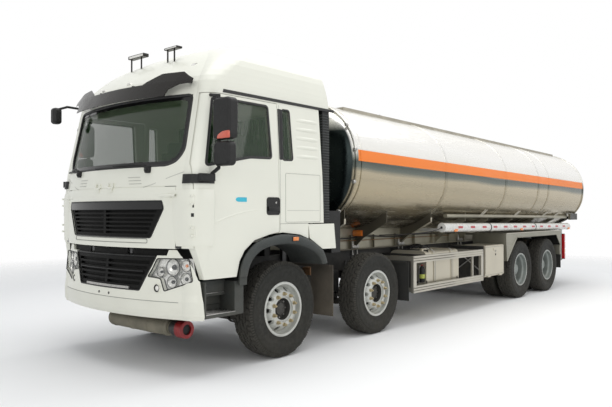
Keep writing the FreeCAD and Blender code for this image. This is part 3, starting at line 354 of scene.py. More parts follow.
M["white"] = lacquer(white_paint("cab_white_paint"))
M["cover"] = rear_cover_paint()
M["shell"] = shell_paint()
M["sub"] = subframe_metal()
M["flap"] = flap_rubber()
M["arrester"] = arrester_paint()
M["glass"] = glass("tinted_glass", (0.030, 0.066, 0.026), 0.36)
M["lamp_glass"] = glass("clear_lamp_cover", (0.70, 0.72, 0.72), 0.09)
M["barrel"] = barrel_metal("barrel_plate", 0.16, 0.3, 1.12)
M["band"] = barrel_metal("band_plate", 0.26, 0.4, 0.98)
paint("soft_seam", "soft_seam", (0.50, 0.50, 0.45), 0.7, vary=(20, 0.1), bump=(60, 0.1))
paint("seam", "panel_seam", (0.26, 0.26, 0.235), 0.8, vary=(30, 0.25), bump=(80, 0.1))
paint("grey", "grey_moulding", (0.044, 0.050, 0.048), 0.6, vary=(8, 0.2), dust=(0.5, 1.3, DIRT, 0.2),
      roughen=(60, 0.5, 0.7), bump=(900, 0.25, 0.0008), dull=(0.35,))
paint("black", "black_plastic", (0.012, 0.012, 0.012), 0.55, vary=(14, 0.3), roughen=(50, 0.4, 0.6),
      bump=(700, 0.15, 0.0006), dull=(0.3,))
paint("mesh", "grille_black", (0.006, 0.006, 0.0055), 0.6, vary=(30, 0.3), roughen=(60, 0.55, 0.75),
      bump=(260, 0.4, 0.003), dull=(0.15,))
paint("gloss_black", "gloss_black_trim", (0.012, 0.012, 0.012), 0.12, vary=(10, 0.2), roughen=(30, 0.08, 0.2),
      dull=(0.35,))
paint("visor", "smoked_visor", (0.013, 0.0115, 0.0095), 0.3, vary=(3, 0.15), roughen=(6, 0.2, 0.32),
      dull=(0.2,))
paint("rubber", "tyre_rubber", (0.021, 0.021, 0.018), 0.8, vary=(12, 0.3),
      dust=(0.0, 0.9, (0.06, 0.053, 0.040), 0.35, 9), roughen=(30, 0.66, 0.88), bump=(260, 0.25, 0.0015),
      dull=(0.3,))
paint("tread", "tyre_tread", (0.030, 0.029, 0.025), 0.85, vary=(25, 0.3), blend=(0.3, (0.075, 0.068, 0.052)),
      roughen=(40, 0.75, 0.95), bump=(300, 0.35, 0.002))
paint("seal", "window_rubber", (0.012, 0.012, 0.012), 0.6, vary=(20, 0.2), roughen=(60, 0.5, 0.7))
paint("rim", "rim_silver_paint", (0.56, 0.57, 0.535), 0.45, 0.15, vary=(9, 0.1),
      dust=(0.2, 0.9, (0.32, 0.29, 0.24), 0.3, 12), roughen=(40, 0.34, 0.5), bump=(500, 0.1, 0.0006))
# Rear twin rims painted darker than the front rims: rim paint with painted shade of their deep dish
paint("rear_rim", "rear_rim_paint_and_dish_shade", (0.27, 0.30, 0.285), 0.5, 0.1, vary=(9, 0.2),
      dust=(0.2, 0.9, (0.20, 0.18, 0.14), 0.35, 12), roughen=(40, 0.4, 0.6), bump=(500, 0.1, 0.0006))
paint("nut", "brass_wheel_nut", (0.50, 0.42, 0.26), 0.38, 0.7, vary=(60, 0.25), roughen=(90, 0.28, 0.5))
paint("hub", "hub_cast", (0.075, 0.072, 0.065), 0.6, 0.4, vary=(24, 0.4), roughen=(60, 0.45, 0.75),
      bump=(160, 0.3, 0.002))
paint("frame", "chassis_paint", (0.024, 0.025, 0.026), 0.55, vary=(6, 0.3), dust=(0.3, 1.3, DIRT, 0.25),
      roughen=(30, 0.45, 0.65), bump=(220, 0.15, 0.001), dull=(0.3,))
paint("cast", "cast_iron", (0.06, 0.058, 0.055), 0.7, 0.3, vary=(10, 0.4), bump=(120, 0.4, 0.003))
paint("alu", "satin_aluminium", (0.50, 0.475, 0.41), 0.38, 0.75, vary=(2.5, 0.14),
      roughen=(12, 0.28, 0.46, (0.5, 20, 20)), bump=(160, 0.06, 0.0006, (0.3, 8, 8)))
paint("box_alu", "box_aluminium", (0.56, 0.52, 0.42), 0.4, 0.6, vary=(1.6, 0.12),
      roughen=(14, 0.32, 0.48, (20, 20, 0.6)), bump=(160, 0.05, 0.0006))
paint("fender", "fender_aluminium", (0.30, 0.29, 0.235), 0.42, 0.6, vary=(2.2, 0.2),
      roughen=(9, 0.32, 0.5, (0.6, 8, 8)), bump=(60, 0.08, 0.001))
paint("silencer", "silencer_dusty", (0.235, 0.215, 0.16), 0.65, 0.2, vary=(5, 0.35), bump=(60, 0.25, 0.003))
paint("red", "arrester_red", (0.40, 0.016, 0.022), 0.35, vary=(20, 0.2), roughen=(40, 0.28, 0.45),
      coat=(0.3,))
paint("red_lens", "red_lens", (0.52, 0.014, 0.018), 0.18, vary=(30, 0.25), bump=(180, 0.4, 0.002, (1, 1, 5)),
      coat=(0.7,))
paint("amber", "amber_lens", (0.85, 0.24, 0.035), 0.2, vary=(50, 0.2), bump=(260, 0.3, 0.0015), coat=(0.6,))
paint("orange", "orange_stripe", (0.92, 0.235, 0.035), 0.4, vary=(1.2, 0.06),
      roughen=(8, 0.34, 0.46, (0.3, 3, 3)), dull=(0.3,))
paint("tube", "tube_white_paint", (0.66, 0.655, 0.62), 0.25, vary=(4, 0.12), roughen=(20, 0.18, 0.32),
      coat=(0.4,))
paint("steel", "zinc_steel", (0.45, 0.44, 0.42), 0.35, 0.85, vary=(30, 0.3), roughen=(60, 0.25, 0.5))
paint("trim", "interior_trim", (0.075, 0.078, 0.075), 0.85, vary=(15, 0.2), bump=(500, 0.3, 0.001))
paint("seat", "seat_cloth", (0.06, 0.065, 0.07), 0.9, vary=(40, 0.3), bump=(800, 0.5, 0.001))
paint("cyan", "cyan_mark", (0.045, 0.50, 0.66), 0.35, vary=(60, 0.1), roughen=(90, 0.3, 0.45))
paint("hose", "black_hose", (0.02, 0.02, 0.02), 0.45, vary=(30, 0.3), bump=(300, 0.2, 0.001))
paint("yellow", "extinguisher_label", (0.50, 0.55, 0.10), 0.5, vary=(60, 0.3))
paint("copper", "brown_fitting", (0.24, 0.13, 0.06), 0.5, 0.4, vary=(30, 0.4))
paint("mirror", "mirror_glass", (0.75, 0.77, 0.78), 0.03, 1.0, vary=(3, 0.04), roughen=(10, 0.01, 0.05))
paint("indicator", "mirror_indicator", (0.66, 0.10, 0.05), 0.25, vary=(50, 0.2), coat=(0.6,))
paint("lens", "lamp_reflector", (0.86, 0.85, 0.80), 0.14, 0.55, vary=(25, 0.25), roughen=(40, 0.05, 0.25))
paint("walk", "walkway_chequer", (0.43, 0.40, 0.33), 0.42, 0.7, vary=(4, 0.25), roughen=(20, 0.32, 0.55),
      bump=(55, 0.35, 0.004))
paint("reflect_red", "reflective_red", (0.48, 0.02, 0.03), 0.3, vary=(200, 0.3))

NODE_MATERIALS = {
    "frame": "chassis_frame axles_and_springs rear_bumper "
             "knuckle_1_left knuckle_1_right knuckle_2_left knuckle_2_right",
    "cast": "engine_block", "box_alu": "fuel_tank toolbox toolbox_door", "alu": "side_guards",
    "fender": "rear_fenders", "flap": "mudflaps", "silencer": "silencer", "arrester": "spark_arrester",
    "cover": "rear_covers", "shell": "cab_shell", "white": "bumper cab_roof door_left door_right hood_flap",
    "lamp_glass": "headlamps", "black": "air_intake mirror_left mirror_right battery_box_and_air_tanks",
    "mesh": "lower_grille upper_grille", "grey": "steps_and_arches", "sub": "subframe",
    "barrel": "tank_barrel",
    "band": "tank_bands", "walk": "tank_walkway manhole_lid_1 manhole_lid_2", "tube": "hose_tubes",
    "red_lens": "tail_lamps", "glass": "cab_glass door_glass_left door_glass_right",
    "visor": "visor_and_roof_lamps", "trim": "cab_interior",
    "rim": "rim_1_left rim_1_right rim_2_left rim_2_right",
    "rear_rim": "twin_rims_3_left twin_rims_3_right twin_rims_4_left twin_rims_4_right"}
for key, names in NODE_MATERIALS.items():
    for name in names.split():
        NODE[name].data.materials.clear()
        NODE[name].data.materials.append(M[key])


# Mesh pieces
def quads(rows, count, wrap=False, closed=False):
    """Faces between rows of count points; wrap joins each row's ends, closed the last row to the first."""
    faces = []
    for j in range(rows if closed else rows - 1):
        a = j * count
        b = (j + 1) % rows * count
        for i in range(count if wrap else count - 1):
            k = (i + 1) % count
            faces.append((a + i, a + k, b + k, b + i))
    return faces


def turned(count, start=0.0):
    """Cosine and sine of count even steps round a circle."""
    angles = [start + CIRCLE * i / count for i in range(count)]
    return [(math.cos(a), math.sin(a)) for a in angles]


def square_to(a):
    return a.cross(Vector((0, 0, 1)) if abs(a.z) < 0.9 else Vector((1, 0, 0))).normalized()


class Piece:
    """Faces gathered for one object of the scene, which rides on a body."""

    def __init__(self, name, body, slot=None, sides=DRAWN, sharp=38):
        self.name = name
        self.body = body
        self.slot = slot
        self.sides = sides
        self.sharp = sharp
        self.v = []
        self.f = []
        self.fm = []
        self.keys = []

    def add(self, verts, faces, mat, sides=None, turn=True):
        """turn=False leaves the corners of mirrored faces in the order they are drawn in."""
        if mat not in self.keys:
            self.keys.append(mat)
        for s in sides or self.sides:
            base = len(self.v)
            self.v += [(A1 + x, y * s, z) for x, y, z in verts]
            for f in faces:
                f = [base + i for i in f]
                self.f.append(f[::-1] if s < 0 and turn else f)
                self.fm.append(self.keys.index(mat))

    def take(self, bm, mat, bev, seg, sides):
        """Add a bmesh with its edges rounded."""
        if bev:
            bmesh.ops.bevel(bm, geom=list(bm.edges), offset=bev, segments=seg, affect="EDGES", profile=0.5)
        bm.verts.index_update()
        self.add([tuple(v.co) for v in bm.verts], [[v.index for v in f.verts] for f in bm.faces], mat, sides)
        bm.free()

    def box(self, x0, x1, y0, y1, z0, z1, mat, bev=0.0, seg=2, sides=None):
        bm = bmesh.new()
        bmesh.ops.create_cube(bm, size=1)
        for v in bm.verts:
            v.co = [a + (b - a) * (c + 0.5) for a, b, c in zip((x0, y0, z0), (x1, y1, z1), v.co)]
        self.take(bm, mat, bev, seg, sides)

    def slab(self, pts, x0, x1, mat, bev):
        """An outline of y and z points, thick along x."""
        bm = bmesh.new()
        a, b = ([bm.verts.new((x, y, z)) for y, z in pts] for x in (x0, x1))
        bm.faces.new(a)
        bm.faces.new(b[::-1])
        n = len(pts)
        for i in range(n):
            bm.faces.new((a[i], b[i], b[(i + 1) % n], a[(i + 1) % n]))
        bmesh.ops.recalc_face_normals(bm, faces=bm.faces)
        self.take(bm, mat, bev, 2, None)

    def lathe(self, profile, origin, axis, mat, seg=32, sides=None, start=0.0, closed=False, caps=True):
        """A ring for each radius and distance along the axis."""
        o = Vector(origin)
        a = Vector(axis).normalized()
        u = square_to(a)
        w = a.cross(u)
        verts = [o + a * d + (u * c + w * s) * r for r, d in profile for c, s in turned(seg, start)]
        faces = quads(len(profile), seg, True, closed)
        if caps and not closed:
            if profile[0][0] > 1e-6:
                faces.append(tuple(range(seg))[::-1])
            if profile[-1][0] > 1e-6:
                faces.append(tuple((len(profile) - 1) * seg + i for i in range(seg)))
        self.add(verts, faces, mat, sides)

    def rod(self, a, b, r, mat, seg=8, sides=None):
        axis = Vector(b) - Vector(a)
        self.lathe([(r, 0), (r, axis.length)], a, axis, mat, seg, sides)

    def collar(self, place, axis, r, lift, half, mat, seg, lip=0.002, caps=False):
        """A band of height lift round a tube of radius r."""
        profile = [(r, -half), (r + lift, lip - half), (r + lift, half - lip), (r, half)]
        self.lathe(profile, place, axis, mat, seg, caps=caps)

    def screw(self, place, axis, r, low, high, mat="steel", seg=8):
        """A flat head whose rim runs from low to high along the axis."""
        self.lathe([(r, low), (r - 0.001, high), (0, high + 0.001)], place, axis, mat, seg, caps=False)

    def tube(self, pts, r, mat, seg=8, sides=None, smooth=4):
        """A round tube along a smoothed line."""
        pts = [Vector(p) for p in pts]
        if smooth > 1:
            ext = [pts[0] * 2 - pts[1]] + pts + [pts[-1] * 2 - pts[-2]]
            out = []
            for i in range(1, len(ext) - 2):
                p0, p1, p2, p3 = ext[i - 1:i + 3]
                for k in range(smooth):
                    t = k / smooth
                    out.append(0.5 * ((2 * p1) + (p2 - p0) * t + (2 * p0 - 5 * p1 + 4 * p2 - p3) * t * t
                                      + (3 * p1 - p0 - 3 * p2 + p3) * t ** 3))
            pts = out + [pts[-1]]
        n = None
        verts = []
        for i, p in enumerate(pts):
            d = (pts[min(i + 1, len(pts) - 1)] - pts[max(i - 1, 0)]).normalized()
            n = square_to(d) if n is None else (n - d * n.dot(d)).normalized()
            w = d.cross(n)
            verts += [p + (n * c + w * s) * r for c, s in turned(seg)]
        faces = quads(len(pts), seg, True)
        faces.append(tuple(range(seg))[::-1])
        faces.append(tuple((len(pts) - 1) * seg + k for k in range(seg)))
        self.add(verts, faces, mat, sides)

    def sheet(self, rows, mat, thick=None, sides=None, turn=True):
        """rows is a grid of points; thick is the vector from its front to its back."""
        m = len(rows)
        n = len(rows[0])
        verts = [tuple(p) for row in rows for p in row]
        faces = quads(m, n)
        if thick is not None:
            back = len(verts)
            verts += [tuple(Vector(v) + Vector(thick)) for v in verts]
            faces += [tuple(back + i for i in f)[::-1] for f in faces]
            rim = list(range(n)) + [j * n + n - 1 for j in range(1, m)]
            rim += [(m - 1) * n + i for i in range(n - 2, -1, -1)] + [j * n for j in range(m - 2, 0, -1)]
            faces += [(b, a, back + a, back + b) for a, b in zip(rim, rim[1:] + rim[:1])]
        self.add(verts, faces, mat, sides, turn)

    def loop(self, pts, r, mat, seg=6, sides=None, flat=1.0, normal=(0, 1, 0)):
        """A closed cord through the points; flat squeezes it across the given normal."""
        pts = [Vector(q) for q in pts]
        verts = []
        for i, q in enumerate(pts):
            d = (pts[(i + 1) % len(pts)] - pts[i - 1]).normalized()
            a = Vector(normal)
            a = (a - d * a.dot(d)).normalized()
            w = d.cross(a)
            verts += [q + a * (c * r * flat) + w * (s * r) for c, s in turned(seg)]
        self.add(verts, quads(len(pts), seg, True, True), mat, sides)

    def done(self):
        mesh = bpy.data.meshes.new(self.name)
        mesh.from_pydata(self.v, [], self.f)
        for k in self.keys:
            mesh.materials.append(M[k])
        mesh.polygons.foreach_set("material_index", self.fm)
        mesh.polygons.foreach_set("use_smooth", [True] * len(self.f))
        mesh.validate()
        mesh.update()
        mesh.set_sharp_from_angle(angle=math.radians(self.sharp))
        ob = bpy.data.objects.new(self.name, mesh)
        bpy.context.scene.collection.objects.link(ob)
        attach(ob, self.body)
        return ob


# Skins of the cab and bumper, from the same levels as the solids: height, reach, half width, corner radius
def metres(rows):
    return tuple(tuple(v / 1000 for v in r) for r in rows)


CAB = metres(((930, 1500, 1245, 190), (1760, 1500, 1245, 190),
              (2020, 1472, 1243, 185), (2790, 1300, 1215, 170)))
ROOF = metres(((2790, 1300, 1215, 170), (2930, 1235, 1206, 190), (3130, 1020, 1160, 260),
               (3270, 800, 1060, 330), (3370, 560, 880, 380), (3410, 320, 640, 400)))
BUMP = metres(((560, 1478, 1250, 200), (600, 1496, 1256, 200), (735, 1500, 1252, 190), (800, 1490, 1246, 190),
               (1160, 1462, 1246, 190)))


def level(rows, z):
    z = min(max(z, rows[0][0]), rows[-1][0])
    for a, b in zip(rows, rows[1:]):
        if z <= b[0]:
            t = (z - a[0]) / (b[0] - a[0])
            return [a[i] + (b[i] - a[i]) * t for i in (1, 2, 3)]


def circle3(p, q, r):
    """Centre and radius of the circle through three points."""
    (ax, ay), (bx, by), (cx, cy) = p, q, r
    a2, b2, c2 = (x * x + y * y for x, y in (p, q, r))
    d = 2 * (ax * (by - cy) + bx * (cy - ay) + cx * (ay - by))
    ux = (a2 * (by - cy) + b2 * (cy - ay) + c2 * (ay - by)) / d
    uy = (a2 * (cx - bx) + b2 * (ax - cx) + c2 * (bx - ax)) / d
    return ux, uy, math.hypot(ax - ux, ay - uy)


def corner_arcs(rows, z):
    """Where the bowed front and the corner meet at a height, and their two circles."""
    c, h, k = level(rows, z)
    e = h - k
    fx = c - e * e / 6.3
    front = circle3((fx, e), (c, 0), (fx, -e))
    corner = circle3((fx, e), (fx - k * 0.30, h - k * 0.26), (fx - k * 1.05, h))
    return e, fx, h, fx - k * 1.05, front, corner


def front_pt(rows, y, z, out=0.0):
    """Point of the skin's front at a distance y from the middle."""
    e, fx, h, sx, front, corner = corner_arcs(rows, z)
    ux, uy, r = front if abs(y) <= e else corner
    return (ux + math.sqrt(max(r * r - (abs(y) - uy) ** 2, 0)) + out, y, z)


def side_pt(rows, x, z, out=0.0):
    """Point of the skin's side at a length x."""
    e, fx, h, sx, front, corner = corner_arcs(rows, z)
    ux, uy, r = corner
    return (x, (h if x <= sx else uy + math.sqrt(max(r * r - (x - ux) ** 2, 0))) + out, z)


def along_skin(rows, z, s, out=0.0):
    """Point at an arc length s from the middle of the front, round the corner and down the side."""
    e, fx, h, sx, front, corner = corner_arcs(rows, z)
    for (ux, uy, r), y0, x0, y1, x1 in ((front, 0, front[0] + front[2], e, fx), (corner, e, fx, h, sx)):
        a0 = math.atan2(y0 - uy, x0 - ux)
        a1 = math.atan2(y1 - uy, x1 - ux)
        if s <= (a1 - a0) * r:
            a = a0 + s / r
            return (ux + (r + out) * math.cos(a), uy + (r + out) * math.sin(a), z)
        s -= (a1 - a0) * r
    return (sx - s, h + out, z)


def densify(pts, step=0.06):
    """A polygon with its sides cut into steps."""
    out = []
    for (x0, y0), (x1, y1) in zip(pts, pts[1:] + pts[:1]):
        k = max(1, int(math.hypot(x1 - x0, y1 - y0) / step))
        out += [(x0 + (x1 - x0) * j / k, y0 + (y1 - y0) * j / k) for j in range(k)]
    return out


def rounded(pts, r, seg=5):
    """Corners of a polygon rounded by radius r."""
    out = []
    for i, place in enumerate(pts):
        p = Vector(place)
        a = Vector(pts[i - 1]) - p
        b = Vector(pts[(i + 1) % len(pts)]) - p
        k = min(r, a.length * 0.45, b.length * 0.45)
        a = p + a.normalized() * k
        b = p + b.normalized() * k
        for j in range(seg + 1):
            t = j / seg
            out.append(tuple(a * (1 - t) ** 2 + p * 2 * t * (1 - t) + b * t * t))
    return out


def offset(pts, d):
    """A polygon moved outward by d along its own normals."""
    s = 1 if sum(pts[i - 1][0] * q[1] - q[0] * pts[i - 1][1] for i, q in enumerate(pts)) > 0 else -1
    out = []
    for i, q in enumerate(pts):
        a = Vector(q) - Vector(pts[i - 1])
        b = Vector(pts[(i + 1) % len(pts)]) - Vector(q)
        na = Vector((a.y, -a.x)).normalized() * s
        nb = Vector((b.y, -b.x)).normalized() * s
        m = (na + nb).normalized() / max(0.45, math.sqrt(max(0.0, (1 + na.dot(nb)) / 2)))
        out.append((q[0] + m.x * d, q[1] + m.y * d))
    return out


def rect(a0, a1, z0, z1):
    return [(a0, z0), (a1, z0), (a1, z1), (a0, z1)]


def side_loop(rows, pts, r=0.03, out=0.0, step=0.08):
    return [side_pt(rows, x, z, out) for x, z in densify(rounded(pts, r), step)]


def front_loop(rows, pts, r=0.03, out=0.0, step=0.08):
    return [front_pt(rows, y, z, out) for y, z in densify(rounded(pts, r), step)]


def plate(p, front, back, mat, sides=None, turn=True):
    """An outline's face with its edge down to a second outline."""
    n = len(front)
    edge = [(i, n + i, n + (i + 1) % n, (i + 1) % n) for i in range(n)]
    p.add(front + back, [tuple(range(n))] + edge, mat, sides, turn)


def front_band(p, rows, z0, z1, half, out, thick, mat, nz=3, ny=20, y0=None):
    """A draped band across the front; half is its half width, or gives it by height; y0 is an inner end."""
    grid = []
    for k in range(nz + 1):
        z = z0 + (z1 - z0) * k / nz
        h = half(z) if callable(half) else half
        lo = -h if y0 is None else y0
        grid.append([front_pt(rows, lo + (h - lo) * i / ny, z, out) for i in range(ny + 1)])
    p.sheet(grid, mat, (-thick, 0, 0), DRAWN if y0 is None else BOTH)


# Tyres: carcass, sidewall rings and a block tread with zigzag grooves; SIDEWALL gives radius and half width
SIDEWALL = [(0.2853, 0.109), (0.300, 0.112), (0.303, 0.128), (0.312, 0.132), (0.322, 0.131), (0.345, 0.1345),
            (0.372, 0.1352), (0.376, 0.1375), (0.384, 0.1375), (0.388, 0.1395), (0.425, 0.1448),
            (0.432, 0.1448), (0.462, 0.1412), (0.468, 0.1425), (0.478, 0.1395), (0.484, 0.1345),
            (0.499, 0.1285), (0.510, 0.119), (0.5125, 0.105)]
TREAD_RIBS = ((-0.1165, -0.0735, 0), (-0.0655, -0.0275, 1), (-0.0195, 0.0195, 0), (0.0275, 0.0655, 1),
              (0.0735, 0.1165, 0))
TREAD_TOP = 0.5249
TREAD_LOW = 0.508
PITCHES = 54
BLOCK_FACES = [(0, 1, 3, 2), (8, 10, 11, 9)]
for q in (0, 4):
    BLOCK_FACES += [(q + 1, q + 5, q + 7, q + 3), (q, q + 4, q + 5, q + 1), (q + 2, q + 3, q + 7, q + 6)]


def make_tyre(name, x, y, body):
    p = Piece(name, body, "tyre_rubber", sharp=32)
    section = [(r, -d) for r, d in SIDEWALL] + SIDEWALL[::-1]
    p.lathe(section, (x, y, HUB_Z), (0, 1, 0), "rubber", 96, closed=True)
    da = CIRCLE / PITCHES
    for k in range(PITCHES):
        zig = 0.004 if k % 2 else -0.004
        for j, (y0, y1, shift) in enumerate(TREAD_RIBS):
            gap = 0.07 if j in (1, 2, 3) else 0.17
            skew = 0.22 * da if j % 2 else -0.22 * da
            verts = []
            for t in (gap / 2, 0.5, 1 - gap / 2):
                for q, yy in enumerate((y0 + zig, y1 + zig)):
                    a = da * (k + shift * 0.5 + t) + skew * (q - 0.5)
                    edge = 0.006 if (j, q) in ((0, 0), (4, 1)) else 0
                    for r, draw in ((TREAD_LOW, 0), (TREAD_TOP - edge, 0.0012 - 0.0024 * q)):
                        verts.append((x + r * math.cos(a), y + yy + draw, HUB_Z + r * math.sin(a)))
            p.add(verts, BLOCK_FACES, "tread")
    w = 0.22 * math.pi / PITCHES
    for s in (-1, 1):
        for k in range(PITCHES * 2):
            a = math.pi * (k + 0.5) / PITCHES
            verts = []
            for r, d in ((0.486, 0.1335), (0.513, 0.1195)):
                for aa in (a - w, a + w):
                    for lift in (0.0, 0.0028):
                        rr = r + lift * 0.3
                        verts.append((x + rr * math.cos(aa), y + s * (d + lift), HUB_Z + rr * math.sin(aa)))
            p.add(verts, [(1, 3, 7, 5), (0, 1, 5, 4), (2, 6, 7, 3), (0, 2, 3, 1), (4, 5, 7, 6)], "tread")
    return p.done()


# Wheel nuts, studs, valve and rim edge ring on each wheel
SINGLE_Y = 1.02
TWIN_Y = (1.08, 0.75)
STUD_R = 0.1675
HUB_CUP = [(0.1185, 1.131), (0.1165, 1.072), (0.090, 1.074), (0.080, 1.085), (0.071, 1.087), (0.066, 1.098),
           (0.030, 1.100), (0, 1.100)]


def wheel_details(n, side, sg):
    wheel = "%d_%s" % (n, side)
    p = Piece("wheel_nuts_" + wheel, "wheel_" + wheel, "rim_metal")
    single = n < 3
    x = AXLES[n]
    face = sg * (SINGLE_Y + 0.132 if single else 0.915 + 0.022)
    out = (0, sg, 0)
    for k in range(10):
        a = CIRCLE * (k + 0.5) / 10
        q = (x + STUD_R * math.cos(a), face, HUB_Z + STUD_R * math.sin(a))
        p.lathe([(0, -0.004), (0.022, -0.004), (0.022, 0.004), (0.0205, 0.006)], q, out, "nut", 16)
        p.lathe([(0.0185, 0.004), (0.0185, 0.024), (0.015, 0.029), (0, 0.029)], q, out, "nut", 6, start=a)
        p.lathe([(0.0095, 0.020), (0.0095, 0.041), (0.0075, 0.043), (0, 0.043)], q, out, "nut", 10)
    if single:
        p.lathe([(r, sg * d) for r, d in HUB_CUP], (x, 0, HUB_Z), (0, 1, 0), "hub", 36, caps=False)
        for c, s in turned(8):
            q = (x + 0.098 * c, sg * 1.072, HUB_Z + 0.098 * s)
            p.lathe([(0.0095, 0.0), (0.0095, 0.010), (0, 0.011)], q, out, "steel", 6)
    rim_y = (SINGLE_Y if single else TWIN_Y[0]) + 0.124
    ring = []
    for k in range(9):
        t = math.pi * k / 8
        ring.append((0.2925 - 0.006 * math.cos(t), sg * (rim_y - 0.002 + 0.0045 * math.sin(t))))
    p.lathe(ring, (x, 0, HUB_Z), (0, 1, 0), "rim", 72, caps=False)
    vx = x + 0.262 * math.cos(0.35)
    vz = HUB_Z + 0.262 * math.sin(0.35)
    p.tube([(vx - dx, sg * (rim_y - dy), vz - dz)
            for dx, dy, dz in ((0, 0.07, 0), (0.01, 0.04, 0.005), (0.03, 0.012, 0.012))], 0.004, "steel")
    p.done()


for n in AXLES:
    for side, (sg,) in SIDES:
        wheel = "%d_%s" % (n, side)
        if n < 3:
            ob = make_tyre("road_tyre_" + wheel, AXLES[n], sg * SINGLE_Y, "wheel_" + wheel)
            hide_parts("tyre_" + wheel)
        else:
            ob = make_tyre("road_tyre_%s_outer" % wheel, AXLES[n], sg * TWIN_Y[0], "wheel_" + wheel)
            make_tyre("road_tyre_%s_inner" % wheel, AXLES[n], sg * TWIN_Y[1], "wheel_" + wheel)
            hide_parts("twin_tyres_" + wheel)
for n in AXLES:
    for side, (sg,) in SIDES:
        wheel_details(n, side, sg)

# Tank barrel: half width and half height of its section, middle line and ends
TANK_A = 1.243
TANK_B = 0.870
TANK_Z = 2.140
TANK_P = 2.3
TANK_REAR = -9.9
SLOPE = math.tan(math.radians(0.77))
STRIPE_LOW = 0.022
STRIPE_WIDE = 0.14


def tank_mid(x):
    return TANK_Z + (x + 5.6) * SLOPE


def tank_point(x, up, out=0.0):
    """Point on the barrel's side at length x and a height up above its middle line."""
    t = min(1.0, abs(up) / TANK_B)
    return (x, TANK_A * (1 - t ** TANK_P) ** (1 / TANK_P) + out, tank_mid(x) + up)


def tank_under(y):
    """Height of the barrel's surface below its middle line at a distance y from the middle."""
    return TANK_B * (1 - (abs(y) / TANK_A) ** TANK_P) ** (1 / TANK_P)


def barrel_loop(x, out):
    pts = []
    for c, s in turned(48):
        y = (TANK_A + out) * math.copysign(abs(c) ** (2 / TANK_P), c)
        z = (TANK_B + out) * math.copysign(abs(s) ** (2 / TANK_P), s)
        pts.append((x - z * SLOPE, y, tank_mid(x) + z))
    return pts


def stripe_patch(p, xs, out):
    p.sheet([[tank_point(x, STRIPE_LOW + STRIPE_WIDE * k / 8, out) for x in xs] for k in range(9)], "orange")


# Side stripe, carried over the bands
p = Piece("side_stripe", "chassis", "barrel_metal", BOTH)
stripe_patch(p, (-1.235, -3.5, -5.6, -7.6, TANK_REAR + 0.05), 0.0050)
for x in (-3.52, -5.70, -7.226, -7.77, -1.332):
    stripe_patch(p, (x + 0.031, x - 0.031), 0.0068 if x < -2 else 0.0085)
p.done()

# Edge ring at the tank's front with its clamp knobs, and thin beads beside the bands
p = Piece("tank_edge_fittings", "chassis", "band_metal")
p.loop(barrel_loop(-1.20, 0.010), 0.012, "band", 8, normal=(1, 0, 0))
for x in (-3.486, -3.554, -5.666, -5.734, -7.192, -7.260, -7.736, -7.804, -9.84):
    p.loop(barrel_loop(x, 0.001), 0.0045, "band", normal=(1, 0, 0))
for up in (0.47, 0.16, -0.24, -0.60):
    q = tank_point(-1.176, up, 0.018)
    p.lathe([(0, -0.022), (0.020, -0.022), (0.024, -0.014), (0.024, 0.014), (0.020, 0.022), (0, 0.022)], q,
            (1, 0, 0), "steel", 14, BOTH)
    p.lathe([(0.009, -0.045), (0.009, 0.0)], q, (1, 0, 0), "steel", 10, BOTH)
p.done()

# Rubbers round the glass
DOOR_WINDOW = [(1.175, 2.03), (1.066, 2.695), (0.33, 2.695), (0.288, 2.152), (0.60, 2.142)]
QUARTER = [(0.11, 2.69), (-0.01, 2.69), (-0.05, 2.15), (0.11, 2.142)]
PILLAR = [(0.112, 2.145), (0.166, 2.145), (0.180, 2.69), (0.112, 2.69)]
SCREEN = [(-0.86, 2.03), (0.86, 2.03), (0.968, 2.072), (1.034, 2.18), (1.012, 2.735), (-1.012, 2.735),
          (-1.034, 2.18), (-0.968, 2.072)]
for side, sides in SIDES:
    p = Piece("window_rubber_%s_door" % side, side + "_door", sides=sides)
    p.loop(side_loop(CAB, DOOR_WINDOW, 0.035, -0.002), 0.015, "seal", flat=0.6)
    p.done()
p = Piece("fixed_window_rubbers", "cab")
p.loop(side_loop(CAB, QUARTER, 0.03, -0.002), 0.010, "seal", sides=BOTH, flat=0.6)
loop = densify(rounded(PILLAR, 0.01, 3), 0.1)
front, back = ([side_pt(CAB, x, z, out) for x, z in loop] for out in (0.0012, -0.0028))
plate(p, front, back, "gloss_black", BOTH)
p.loop(front_loop(CAB, offset(SCREEN, -0.004), 0.05, -0.004), 0.014, "seal", normal=(1, 0, 0), flat=0.6)
outer, inner = (front_loop(CAB, offset(SCREEN, d), 0.05, -0.011, 0.09) for d in (0.0, -0.05))
near = [min(inner, key=lambda t: (Vector(t) - Vector(q)).length) for q in outer]
for i, q in enumerate(outer):
    j = (i + 1) % len(outer)
    face = (0, 1, 2, 3) if near[i] != near[j] else (0, 1, 2)
    p.add([q, outer[j], near[j], near[i]], [face], "gloss_black")
p.done()

# Wipers, washer vents, and a grey line of painted shade along the bonnet crease
p = Piece("wipers", "cab")
for y, reach in ((-0.60, 0.40), (0.647, 0.80)):
    base = Vector(front_pt(CAB, y, 1.995, 0.010))
    p.box(base.x - 0.03, base.x + 0.020, y - 0.034, y + 0.034, 1.968, 2.035, "black", 0.012)
    p.lathe([(0, -0.01), (0.021, -0.01), (0.021, 0.016), (0.014, 0.022), (0, 0.022)],
            base + Vector((0.012, 0, 0.004)), (1, 0, 0.2), "black", 14)
    arm = [front_pt(CAB, y - d, z, out)
           for d, z, out in ((0.07, 2.062, 0.040), (reach * 0.35, 2.062, 0.034),
                           (reach * 0.62, 2.056, 0.024))]
    p.tube([base + Vector((0.02, 0, 0.01))] + arm, 0.010, "black", 8, smooth=3)
    blade = [front_pt(CAB, y - 0.05 - reach * k / 10, 2.044, 0.012) for k in range(11)]
    p.tube(blade, 0.010, "black", 6, smooth=1)
p.done()
p = Piece("bonnet_vents_and_crease_shade", "cab")
